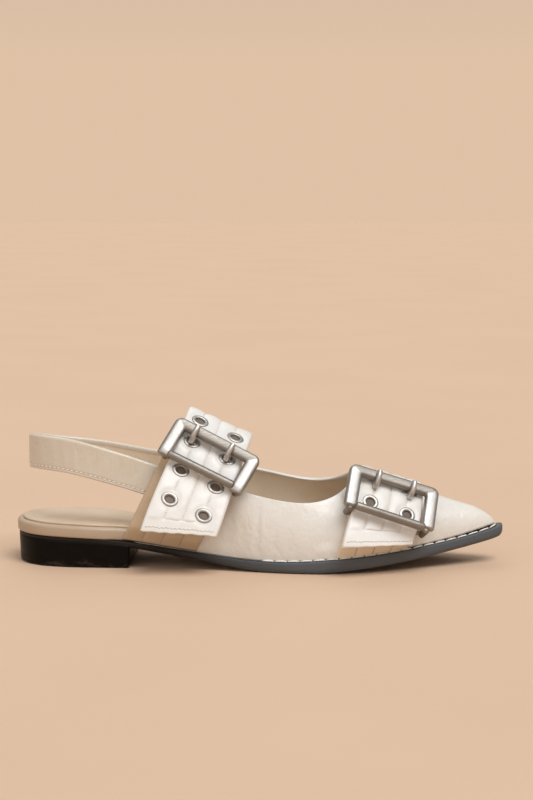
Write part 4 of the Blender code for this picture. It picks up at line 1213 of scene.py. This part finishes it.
def quilted_strip(name, band, around, lift, swell, looks, flare=None, foot=1.0):
    """A closed padded strip; around gives the place round the last for each station and place across."""
    across = edge_places(band.width, STRIP_EDGE, 66) - band.width / 2
    spots = around(across)
    places = np.broadcast_to(across, spots.shape)
    point, over, normal = band_frame(band, places, spots)
    under = point + normal * lift(places, spots)[..., None]
    run = run_of(under[:, len(across) // 2])
    if flare is not None:
        spot = 2.0 * across / band.width
        side = (np.where(spot < 0.0, flare.rear, flare.front) - flare.middle) * spot**2 + flare.middle
        fade = ease(1.0 - run / flare.fade)
        under += unit(over) * (side[None] * fade[:, None])[..., None]
    face = under + normal * band.thickness
    to_end = np.minimum(run, run[-1] - run)
    full = nose(band.width / 2 - abs(across), STRIP_EDGE)[None] * nose(to_end, 1.0)[:, None]
    thin = (foot + (1.0 - foot) * ease(run / FOOT_TAPER))[:, None]
    half = band.thickness / 2 * thin
    top = half + full * (half + thin * swell(places, run[:, None], face))
    outer = under + normal * top[..., None]
    inner = under + normal * (half - full * half)[..., None]
    ring = np.concatenate([outer, inner[:, ::-1], outer[:, :1]], axis=1)
    return lay_grid(name, ring, looks), Strip(outer, normal, across, run)


print("quilting ready")

# %% [markdown]
# The short bands run from the sole's ledge up to the hinge bars. Each thins out at its foot, where it is
# pulled under with the upper, and curls out a little at its top to meet its bar. The instep band lies in
# the shade of its strap, and that shade is painted into it as a darker copy of the bands' ivory.

# %% Base bands
BAND_FOOT = -0.999
BAND_LIFT = 0.2
CURL_LIFT = 3.2
HINGE_CURL = 0.06
HINGE_SHORT = 0.005
NO_CROSS_SEAM = -9.0
THIN_FOOT = 0.16


def base_band(name, band, buckle, look):
    """A band from the sole up to the hinge bar, curling out to meet it."""
    hinge = buckle.low - HINGE_SHORT

    def around(across):
        share = np.linspace(0.0, 1.0, 64)[:, None]
        return (1.0 - share) * (BAND_FOOT - band.slant * across)[None] + share * hinge

    def lift(across, around):
        return BAND_LIFT + CURL_LIFT * ease((around - hinge) / HINGE_CURL + 1.0)

    swell = quilting(band, NO_CROSS_SEAM, [])
    return quilted_strip(name, band, around, lift, swell, [look], foot=THIN_FOOT)


# The instep band takes the darker copy: painted shade of its strap.
instep_base, instep_base_strip = base_band("instep_base_quilted", INSTEP_BASE, INSTEP_BUCKLE, INSTEP_BAND_PAINTED_SHADE)
on_shoe(instep_base, "band_ivory", "instep_base_band")
toe_base, toe_base_strip = base_band("toe_base_quilted", TOE_BASE, TOE_BUCKLE, BAND_IVORY_PAINTED_SHADE)
on_shoe(toe_base, "band_ivory", "toe_base_band")

# %% [markdown]
# The straps are the same kind of strip, much longer. A cloth simulation could drape them, but padded leather
# this stiff keeps the shape that it was sewn in, so their route is given. A free end is told by the heights
# of its two corners and the place of its cross seam. It stands off the foot and flares a little.

# %% Straps
STRAP_FOOT = 0.995
FINE_SHARE = 0.09
FINE_STATIONS = 44
END_WAVER = 0.0012
End = namedtuple("End", "rear front cross_seam")
INSTEP_END = End(25.6, 22.6, 7.6)
TOE_END = End(15.6, 15.2, 8.6)
EDGE_ROW = 2.9
INSTEP_FLARE = Flare(-1.6, 0.0, 2.4, 45.0)
TOE_FLARE = Flare(-1.7, -2.4, -3.2, 24.0)


def strap_piece(name, band, lift, end, flare, eyelets, stations):
    """A strap from its free end, laid out finely there, over the foot to the sole."""
    fine = np.linspace(0.0, FINE_SHARE, FINE_STATIONS)
    share = np.r_[fine, np.linspace(FINE_SHARE, 1.0, stations)[1:]][:, None]

    def around(across):
        height = end.rear + (end.front - end.rear) * (across / band.width + 0.5)
        first = around_at(band, across, height) + END_WAVER * np.sin(0.9 * across + 1.0)
        last = STRAP_FOOT + band.slant * across
        return (1.0 - share) * first[None] + share * last[None]

    swell = quilting(band, end.cross_seam, eyelets)
    return quilted_strip(name, band, around, lift, swell, [STRAP_IVORY], flare)


instep_strap, instep_strip = strap_piece("instep_strap_quilted", INSTEP_STRAP, instep_lift, INSTEP_END,
                                         INSTEP_FLARE, instep_eyelets, 170)
toe_strap, toe_strip = strap_piece("toe_strap_quilted", TOE_STRAP, toe_lift, TOE_END,
                                   TOE_FLARE, toe_eyelets, 120)
print("instep strap", round(instep_strip.run[-1]), "mm, toe strap", round(toe_strip.run[-1]), "mm")

# %% [markdown]
# Each eyelet hole is really punched, with a cylinder and a Boolean, so that the prongs pass through leather
# and the rings have something dark inside them.

# %% Punch the eyelet holes
HOLE_RADIUS = 2.9
HOLE_DEPTH = 9.0
HOLE_SUNK = 1.2
SHARP = np.radians(50)


def combine(body, other, operation):
    """A Boolean of two pieces, applied to the first; the other one goes."""
    change = body.modifiers.new("change", "BOOLEAN")
    change.operation = operation
    change.object = other
    pick(body)
    bpy.ops.object.modifier_apply(modifier="change")
    bpy.data.objects.remove(other)


def punch(strap, eyelets):
    for centre, axis, _ in eyelets:
        pick()
        turn = Vector(axis).to_track_quat("Z", "Y").to_euler()
        bpy.ops.mesh.primitive_cylinder_add(vertices=24, radius=HOLE_RADIUS * MM, depth=HOLE_DEPTH * MM,
                                            location=place(centre - axis * HOLE_SUNK)[0], rotation=turn)
        combine(strap, bpy.context.object, "DIFFERENCE")


punch(instep_strap, instep_eyelets)
punch(toe_strap, toe_eyelets)
for strap, node in ((instep_strap, "instep_strap"), (toe_strap, "toe_strap")):
    pick(strap)
    bpy.ops.object.shade_smooth_by_angle(angle=SHARP)
    on_shoe(strap, "strap_ivory", node)

# %% [markdown]
# ## Metal
# An eyelet is a turned ring: one profile, from the barrel down the hole to the domed flange, taken round a
# circle. A torus would be too thick. A dark brown disc lies in the hole wherever no prong goes through,
# painted shade for the dark inside of the hole, and the ring is drawn in a little to an oval, as the worn
# eyelets in the photograph are.

# %% Eyelets
INSTEP_EYELET = (1.0, 0.82)
TOE_EYELET = (0.92, 0.9)
EYELET_PROFILE = [(2.62, -2.3), (2.55, -2.2), (2.55, -0.3), (2.66, 0.12), (2.95, 0.36), (3.4, 0.46),
                  (4.0, 0.44), (4.5, 0.34), (4.8, 0.16), (4.9, -0.05), (4.8, -0.3), (3.0, -0.3),
                  (2.85, -0.5), (2.85, -2.2), (2.62, -2.3)]
SHADE_DISC_RADIUS = 2.652
SHADE_DISC_THICKNESS = 0.5
SHADE_DISC_DEPTH = 1.0


def apply_place(piece):
    pick(piece)
    bpy.ops.object.transform_apply(location=True, rotation=True, scale=True)


def join_pieces(name, pieces):
    pick(*pieces)
    bpy.ops.object.join()
    joined = bpy.context.object
    joined.name = name
    joined.data.name = name
    return joined


def eyelet_model(with_shade_disc):
    """One eyelet round the origin, with or without a dark disc of painted shade in its hole."""
    turn = np.linspace(0.0, 2.0 * pi, 49)
    ring = [[(radius * np.cos(t), radius * np.sin(t), height) for t in turn]
            for radius, height in EYELET_PROFILE]
    pieces = [lay_grid("flange", np.array(ring) + BOX_MIDDLE, [EYELET_NICKEL])]
    if with_shade_disc:
        pick()
        bpy.ops.mesh.primitive_cylinder_add(vertices=32, radius=SHADE_DISC_RADIUS * MM,
                                            depth=SHADE_DISC_THICKNESS * MM,
                                            location=(0, 0, -SHADE_DISC_DEPTH * MM))
        shade_disc = bpy.context.object
        apply_place(shade_disc)
        shade_disc.data.materials.append(EYELET_HOLE_PAINTED_SHADE)
        pieces.append(shade_disc)
    model = join_pieces("eyelet_model", pieces)
    bpy.ops.object.shade_smooth_by_angle(angle=SHARP)
    return model


def set_eyelets(name, eyelets, pinned_row, size):
    for number, (centre, axis, over) in enumerate(eyelets, 1):
        piece = eyelet_model(with_shade_disc=(number - 1) // 2 != pinned_row)
        piece.name = f"{name}_eyelet_ring_{number}"
        piece.data.name = piece.name
        turn = Matrix((over, np.cross(axis, over), axis)).transposed().to_4x4()
        piece.matrix_world = Matrix.Translation(place(centre)[0]) @ turn @ Matrix.Diagonal((*size, 1.0, 1.0))
        apply_place(piece)
        on_shoe(piece, "eyelet_nickel", f"{name}_eyelet_{number}")


set_eyelets("instep", instep_eyelets, INSTEP_BUCKLE.pinned_row, INSTEP_EYELET)
set_eyelets("toe", toe_eyelets, TOE_BUCKLE.pinned_row, TOE_EYELET)

# %% [markdown]
# A buckle is an open frame of half-round bar with soft corners. A thin round bar crosses it low down in
# front of the strap, and two ears carry the hinge bar behind the strap. The parts are joined with Boolean
# unions, as the cast piece is one. Its flat arms are painted a lighter nickel than its bars, a painted
# reflection of the light that the arms catch and the bars miss.

# %% Buckle frames
BUCKLE_WIDTH = 51.2
BUCKLE_ARM = 5.8
ARM_WIDTH = 7.2
BUCKLE_HEIGHT = 4.2
OUTER_CORNER = 4.0
INNER_CORNER = 0.6
BAR_RADIUS = 2.3
BAR_OUT = {"instep_buckle": 1.3, "toe_buckle": 2.4}
BAR_DOWN = {"instep_buckle": (1.2, 0.3), "toe_buckle": (0.9, 1.7)}
BAR_BURIED = 1.6
EAR_RADIUS = 1.9
EAR_INSET = 1.2
EAR_PAST = 1.4
EAR_TOP = 0.8
SECTION_SIDE = 0.6
SECTION_FRONT = 0.62
SECTION_BACK = 0.4
END_CAPS = ((0.93, 0.45), (0.72, 0.8), (0.0, 0.95))
ARM_RINGS = 14
SOFT = np.radians(40)


def tube_points(path, radii, sides):
    """Rings round a path, each with its own radius."""
    path = np.asarray(path, float)
    tangent = unit(np.gradient(path, axis=0))
    side = np.cross(tangent[0], (0.31, 0.57, 0.76))
    rings = []
    for point, forward, radius in zip(path, tangent, radii):
        side = unit(side - forward * np.dot(side, forward))
        other = np.cross(forward, side)
        turn = np.linspace(0.0, 2.0 * pi, sides + 1)[:, None]
        rings.append(point + radius * (np.cos(turn) * side + np.sin(turn) * other))
    return np.stack(rings)


def rod(name, path, radius, sides, look, tip=1.0):
    """A round rod with rounded tips."""
    path = np.asarray(path, float)
    run = run_of(path)
    cap = radius * tip * (1.0 - np.cos(np.linspace(0.0, pi / 2, 6)))
    shaft = run[(run > cap[-1]) & (run < run[-1] - cap[-1])]
    spots = np.unique(np.r_[cap, shaft, run[-1] - cap])
    path = points_at(spots, run, path)
    radii = radius * nose(np.minimum(spots, spots[-1] - spots), radius * tip)
    return lay_grid(name, tube_points(path, radii, sides), [look])


def unite(body, others):
    for other in others:
        combine(body, other, "UNION")
    bpy.ops.object.shade_smooth_by_angle(angle=SOFT)
    return body


def buckle_place(buckle, band):
    """A function that places points along, up and out from the lower bar, and the reach."""
    low, bar, up, out, reach = buckle_axes(buckle, band)

    def at(x, y, z):
        return low + bar * x + up * y + out * z

    return at, reach


def bent_edge(reach_x, reach, end, corner):
    """Half of one edge of the open frame, from the rear arm's end round the corner to the middle."""
    arm = [(-reach_x, y) for y in end + (reach - corner - end) * np.linspace(0.0, 1.0, 7)[:-1]]
    bend = [(-reach_x + corner * (1.0 - np.cos(turn)), reach - corner * (1.0 - np.sin(turn)))
            for turn in np.linspace(0.0, pi / 2, 11)]
    bar = [(x, reach) for x in (-reach_x + corner) * np.linspace(1.0, 0.0, 6)[1:]]
    return np.array(arm + bend + bar)


def buckle_frame(buckle, band):
    at, reach = buckle_place(buckle, band)
    half = BUCKLE_ARM / 2
    tall = BUCKLE_HEIGHT / 2
    reach_x = BUCKLE_WIDTH / 2 - half
    outer_edge = bent_edge(reach_x + half, reach + half, -buckle.arm_end, OUTER_CORNER)
    inner_edge = bent_edge(BUCKLE_WIDTH / 2 - ARM_WIDTH, reach - half, -buckle.arm_end, INNER_CORNER)
    outer_edge = np.concatenate([outer_edge, outer_edge[-2::-1] * (-1.0, 1.0)])
    inner_edge = np.concatenate([inner_edge, inner_edge[-2::-1] * (-1.0, 1.0)])
    turn = np.linspace(0.0, 2.0 * pi, 33)
    cosine, sine = np.cos(turn), np.sin(turn)
    side = np.sign(cosine) * np.abs(cosine)**SECTION_SIDE
    rise = tall * np.where(sine > 0.0, np.abs(sine)**SECTION_FRONT, -np.abs(sine)**SECTION_BACK)
    rings = [[at(*(outer * (1.0 + s) + inner * (1.0 - s)) / 2, r) for s, r in zip(side, rise)]
             for outer, inner in zip(outer_edge, inner_edge)]
    for end in (0, -1):
        middle = (outer_edge[end] + inner_edge[end]) / 2
        spread = (outer_edge[end] - inner_edge[end]) / 2
        caps = [[at(*(middle + spread * s * size - (0.0, past)), r * size) for s, r in zip(side, rise)]
                for size, past in END_CAPS]
        rings = caps[::-1] + rings if end == 0 else rings + caps
    strip = np.arange(len(rings) - 1)
    # The arms take the lighter nickel: a painted reflection of the light they catch.
    arm_painted_lighter = np.minimum(strip, strip[::-1]) < ARM_RINGS
    body = lay_grid(buckle.name + "_bars", np.array(rings), [BUCKLE_NICKEL, ARM_NICKEL_PAINTED_LIGHTER],
                    np.repeat(arm_painted_lighter[:, None], len(turn) - 1, axis=1))
    ear_x = reach_x - EAR_INSET
    bar_x = BUCKLE_WIDTH / 2 - ARM_WIDTH + BAR_BURIED
    rear_down, front_down = BAR_DOWN[buckle.name]
    bar_out = BAR_OUT[buckle.name]
    lower = [at(x, -y, bar_out) for x, y in np.linspace((-bar_x, rear_down), (bar_x, front_down), 9)]
    hinge = [at(x, 0, -HINGE_DROP) for x in np.linspace(-ear_x, ear_x, 9)]
    bars = [
        rod("lower_bar", lower, BAR_RADIUS, 28, BUCKLE_NICKEL, 0.5),
        rod("hinge_bar", hinge, HINGE_BAR_RADIUS, 20, BUCKLE_NICKEL),
    ]
    for x, down in ((-ear_x, rear_down), (ear_x, front_down)):
        ear = np.linspace((0.0, -HINGE_DROP - EAR_PAST), (-down, EAR_TOP), 7)
        bars.append(rod("ear", [at(x, y, z) for y, z in ear], EAR_RADIUS, 16, BUCKLE_NICKEL, 0.5))
    return unite(body, bars)


for buckle, band in BUCKLED:
    on_shoe(buckle_frame(buckle, band), "buckle_nickel", buckle.name + "_frame")

# %% [markdown]
# A prong is a bent rod: it leaves the hinge bar under the strap, comes up through an eyelet and rests on
# the upper bar. Its route is a smooth curve through those few places.

# %% Prongs
PRONG_RADIUS = 1.5
PRONG_END = 1.7
HINGE_GAP = 0.3
UNDER_GAP = 0.6
BAR_GAP = 0.9
REST_GAP = 0.2


def prongs(buckle, band, rows, lift, eyelets):
    """Both prongs of a buckle, each through its eyelet of the pinned row."""
    at, reach = buckle_place(buckle, band)
    low, bar, _, _, _ = buckle_axes(buckle, band)
    crest = BUCKLE_HEIGHT / 2 + PRONG_RADIUS + REST_GAP
    before_bar = reach - BUCKLE_ARM / 2 - PRONG_RADIUS - BAR_GAP
    for order, label in enumerate(("rear", "front")):
        centre, axis, _ = eyelets[2 * buckle.pinned_row + order]
        across = (order - 0.5) * EYELET_SPACING[band.name]
        x = np.dot(centre - low, bar)
        route = [at(x, HINGE_BAR_RADIUS + PRONG_RADIUS + HINGE_GAP, -HINGE_DROP)]
        for spot in np.linspace(buckle.low, rows[buckle.pinned_row], 5)[2:-1]:
            route.append(lifted(band, across, spot, lift(across, spot) - PRONG_RADIUS - UNDER_GAP))
        route += [
            centre - axis * (band.thickness + 0.4),
            centre + axis * 1.9,
            at(x, before_bar - 0.2, -0.5 * BUCKLE_HEIGHT),
            at(x, before_bar + 0.2, 0.4 * crest),
            at(x, reach - 1.0, crest),
            at(x, reach + PRONG_END, crest - 0.2),
        ]
        name = f"{buckle.name}_{label}_prong"
        prong = rod(name + "_rod", path_through(route, 70), PRONG_RADIUS, 16, PRONG_NICKEL, 0.4)
        on_shoe(prong, "prong_nickel", name)


prongs(INSTEP_BUCKLE, INSTEP_STRAP, INSTEP_ROWS, instep_lift, instep_eyelets)
prongs(TOE_BUCKLE, TOE_STRAP, TOE_ROWS, toe_lift, toe_eyelets)

# %% [markdown]
# ## Stitches
# A stitch is a short bit of thread that dips into a hole at each end. There are hundreds, so one small
# form of a few faces is repeated along each seam into one joined mesh. Dark marks lie between them, painted
# shade for the needle holes.

# %% Rows of stitches
Stitch = namedtuple("Stitch", "pitch length width height proud")
Seam = namedtuple("Seam", "path normal stitch")
QUILT_STITCH = Stitch(1.25, 0.85, 0.42, 0.34, 0.04)
EDGE_STITCH = Stitch(2.3, 1.6, 0.75, 0.55, 0.16)
SLING_STITCH = Stitch(2.7, 2.0, 0.6, 0.5, 0.12)
WELT_STITCH = Stitch(7.0, 6.6, 1.2, 0.95, 0.0)
HOLE_SHADE_WIDTH = 0.42
HOLE_SHADE_HEIGHT = 0.2
EYELET_CLEAR = 5.3
EDGE_MARGIN = 1.6
RING_SHARE = np.array([0.0, 0.14, 0.5, 0.86, 1.0])
RING_SIZE = np.array([0.3, 0.85, 1.0, 0.85, 0.3])
RING_SINK = np.array([0.7, 0.1, 0.0, 0.1, 0.7])
SIDES = 6


def stitch_rings(seam, starts, length, width, height, sink):
    """Ring points of every stitch of one seam, and the middles of the stitches."""
    run = run_of(seam.path)
    spots = starts[:, None] + RING_SHARE[None] * length
    at = points_at(spots, run, seam.path)
    normal = unit(points_at(spots, run, seam.normal))
    ahead = unit(at[:, -1:] - at[:, :1])
    side = np.cross(normal, ahead)
    turn = (np.arange(SIDES) + 0.5) * 2.0 * pi / SIDES
    size = RING_SIZE[None, :, None, None]
    down = (RING_SINK * height * 0.5 + sink)[None, :, None, None]
    rings = at[:, :, None] + size * (np.cos(turn)[:, None] * side[:, :, None] * width / 2
                                     + np.sin(turn)[:, None] * normal[:, :, None] * height / 2)
    return rings - normal[:, :, None] * down, at[:, 2]


def sew(name, seams, look, hole_shade=None, eyelets=()):
    """All the stitches of some seams as one piece, with dark marks of painted shade for their needle holes,
    and clear of the eyelets.
    """
    points = []
    paint = []
    for seam in seams:
        stitch = seam.stitch
        starts = np.arange(0.0, run_of(seam.path)[-1] - stitch.length, stitch.pitch)
        runs = [(starts, stitch.length, stitch.width, stitch.height, 0.0, 0)]
        # The dark marks in the gaps are painted shade for the needle holes.
        if hole_shade is not None:
            gap = stitch.pitch - stitch.length
            runs.append((starts + stitch.length, gap, HOLE_SHADE_WIDTH, HOLE_SHADE_HEIGHT, stitch.proud, 1))
        for where, size, width, height, sink, code in runs:
            rings, middles = stitch_rings(seam, where, size, width, height, sink)
            for centre, _, _ in eyelets:
                away = np.linalg.norm(middles - centre, axis=1) > EYELET_CLEAR
                rings = rings[away]
                middles = middles[away]
            points.append(rings.reshape(-1, 3))
            paint += [code] * len(rings)
    points = np.concatenate(points)
    per = len(RING_SHARE) * SIDES
    pattern = []
    for ring_number in range(len(RING_SHARE) - 1):
        for k in range(SIDES):
            a = ring_number * SIDES + k
            b = ring_number * SIDES + (k + 1) % SIDES
            pattern.append((a, b, b + SIDES, a + SIDES))
    caps = [tuple(range(SIDES))[::-1], tuple(per - SIDES + k for k in range(SIDES))]
    faces = [tuple(base + k for k in face)
             for base in range(0, len(points), per) for face in pattern + caps]
    mesh = bpy.data.meshes.new(name)
    mesh.from_pydata(place(points).tolist(), [], faces)
    for shown in (look, hole_shade):
        if shown is not None:
            mesh.materials.append(shown)
    mesh.polygons.foreach_set("material_index", np.repeat(paint, len(pattern) + 2))
    mesh.shade_smooth()
    piece = bpy.data.objects.new(name, mesh)
    bpy.context.scene.collection.objects.link(piece)
    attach(piece, "root")
    print(name, len(paint), "stitches and holes")
    return piece


def seam_along(strip, across, start, stop, stitch):
    """A seam down a strip at one place across it."""
    keep = (strip.run >= start) & (strip.run <= stop)
    after = np.searchsorted(strip.across, across)
    share = (across - strip.across[after - 1]) / (strip.across[after] - strip.across[after - 1])
    path = strip.outer[:, after - 1] * (1.0 - share) + strip.outer[:, after] * share
    normal = strip.normal[:, after]
    return Seam((path + normal * stitch.proud)[keep], normal[keep], stitch)


def seam_across(strip, run, reach, stitch):
    """A seam across a strip at one distance from its end."""
    station = np.searchsorted(strip.run, run)
    keep = np.abs(strip.across) <= reach
    normal = strip.normal[station]
    return Seam((strip.outer[station] + normal * stitch.proud)[keep], normal[keep], stitch)


def quilt_seams(band, strip, start, short):
    """The three seams between a strip's channels, stopping short of its last end."""
    return [seam_along(strip, spot * band.width / CHANNELS, start, strip.run[-1] - short, QUILT_STITCH)
            for spot in (-1, 0, 1)]


for name, band, strip, end, eyelets in (
        ("instep_strap_stitches", INSTEP_STRAP, instep_strip, INSTEP_END, instep_eyelets),
        ("toe_strap_stitches", TOE_STRAP, toe_strip, TOE_END, toe_eyelets)):
    seams = quilt_seams(band, strip, end.cross_seam, 1.0)
    seams.append(seam_across(strip, end.cross_seam, band.width / CHANNELS, QUILT_STITCH))
    seams.append(seam_across(strip, EDGE_ROW, band.width / 2 - EDGE_MARGIN, EDGE_STITCH))
    sew(name, seams, STRAP_THREAD, NEEDLE_HOLE_PAINTED_SHADE, eyelets)
for name, band, strip in (("instep_base_stitches", INSTEP_BASE, instep_base_strip),
                          ("toe_base_stitches", TOE_BASE, toe_base_strip)):
    sew(name, quilt_seams(band, strip, 0.6, 2.0), BAND_THREAD, BAND_HOLE_PAINTED_SHADE)

# %% [markdown]
# The slingback has one row of longer stitches near its lower edge. The welt is sewn to the sole with thick
# white thread in long stitches that nearly touch, from the waist round the toe.

# %% Slingback and welt stitches
SEWN_STEPS = slice(8, -8)
WELT_START = 136.0
WELT_LIFT = 0.05
WELT_OUT = 0.2
BAND_OUT = 0.65
BAND_SPAN = (172.0, 224.0)
BAND_FADE = 5.0

row_column = np.argmin(np.abs(height_share - SLING_EDGE_ROW / SLING_HEIGHT))
row_out = sling_out[SEWN_STEPS]
row_path = sling_outer[SEWN_STEPS, row_column] + row_out * SLING_STITCH.proud
sling_seam = Seam(row_path, row_out, SLING_STITCH)
sew("slingback_stitches", [sling_seam], STRAP_THREAD, NEEDLE_HOLE_PAINTED_SHADE)


def welt_out(along):
    """How far the stitches stand off the upper: a little more where the toe band is tucked in."""
    at_band = ease((along - BAND_SPAN[0]) / BAND_FADE) * ease((BAND_SPAN[1] - along) / BAND_FADE)
    return WELT_OUT + BAND_OUT * at_band


welt_loop = outline(lambda along: ledge_width(along) - welt_out(along), 400)
welt_loop = welt_loop[welt_loop[:, 0] > WELT_START]
welt_path = level(welt_loop, lambda along: feather(along) + WELT_LIFT)
welt_up = np.tile((0.0, 0.0, 1.0), (len(welt_path), 1))
sew("welt_stitches", [Seam(welt_path, welt_up, WELT_STITCH)], WELT_THREAD)

# %% [markdown]
# ## Floor and light
# The shoe stands on a plain pale floor. One large plane with a faint drift of colour is enough, because the
# photograph shows no edge and no corner behind the shoe.

# %% Floor
FLOOR_SIZE = 12.0
FLOOR_DROP = 0.0002

pick()
bpy.ops.mesh.primitive_plane_add(size=FLOOR_SIZE, location=(0.0, 0.0, -FLOOR_DROP))
floor = bpy.context.object
floor.name = "pale_floor"
FLOOR_PALE = start_look("floor_pale", (0.63, 0.44, 0.305), 0.8)
floor_grain = noise(FLOOR_PALE, object_place(FLOOR_PALE), 6.0, 3.0)
link(FLOOR_PALE, tones(FLOOR_PALE, floor_grain, [(0.3, (0.62, 0.432, 0.298)), (0.7, (0.64, 0.448, 0.312))]),
     shader_of(FLOOR_PALE).inputs["Base Color"])
floor.data.materials.append(FLOOR_PALE)
print("floor ready")

# %% [markdown]
# A large soft lamp stands high on the right, in front, as the highlights on the toe and on the buckles show.
# A weak one fills in from the left and one from behind. Sun lamps with a wide spread light the floor evenly,
# where area lamps would leave a bright pool on it. The sky is warm low down, as if lit by the floor.

# %% Light
Lamp = namedtuple("Lamp", "name place spread power colour")
LAMPS = [
    Lamp("key_lamp", (0.42, -0.55, 1.2), 36.0, 2.3, (0.97, 0.99, 1.0)),
    Lamp("fill_lamp", (-0.5, -1.0, 0.5), 50.0, 0.46, (1.0, 0.95, 0.9)),
    Lamp("back_lamp", (-0.1, 0.9, 0.9), 40.0, 0.45, (1.0, 0.97, 0.93)),
]
for lamp in LAMPS:
    bpy.ops.object.light_add(type="SUN", location=lamp.place)
    made = bpy.context.object
    made.name = lamp.name
    made.data.angle = np.radians(lamp.spread)
    made.data.energy = lamp.power
    made.data.color = lamp.colour
    made.rotation_euler = (-Vector(lamp.place)).to_track_quat("-Z", "Y").to_euler()

world = bpy.data.worlds.new("studio")
bpy.context.scene.world = world
world.use_nodes = True
sky = world.node_tree.nodes["Background"]
direction = add_node(world, "ShaderNodeTexCoord")
height = add_node(world, "ShaderNodeSeparateXYZ")
link(world, direction.outputs["Generated"], height.inputs["Vector"])
low_sky, high_sky = (0.74, 0.54, 0.385), (0.40, 0.385, 0.37)
link(world, tones(world, height.outputs["Z"], [(0.05, low_sky), (0.3, high_sky)]), sky.inputs["Color"])
sky.inputs["Strength"].default_value = 1.0
bpy.context.scene.view_settings.view_transform = "Standard"
print("lamps:", [lamp.name for lamp in LAMPS])
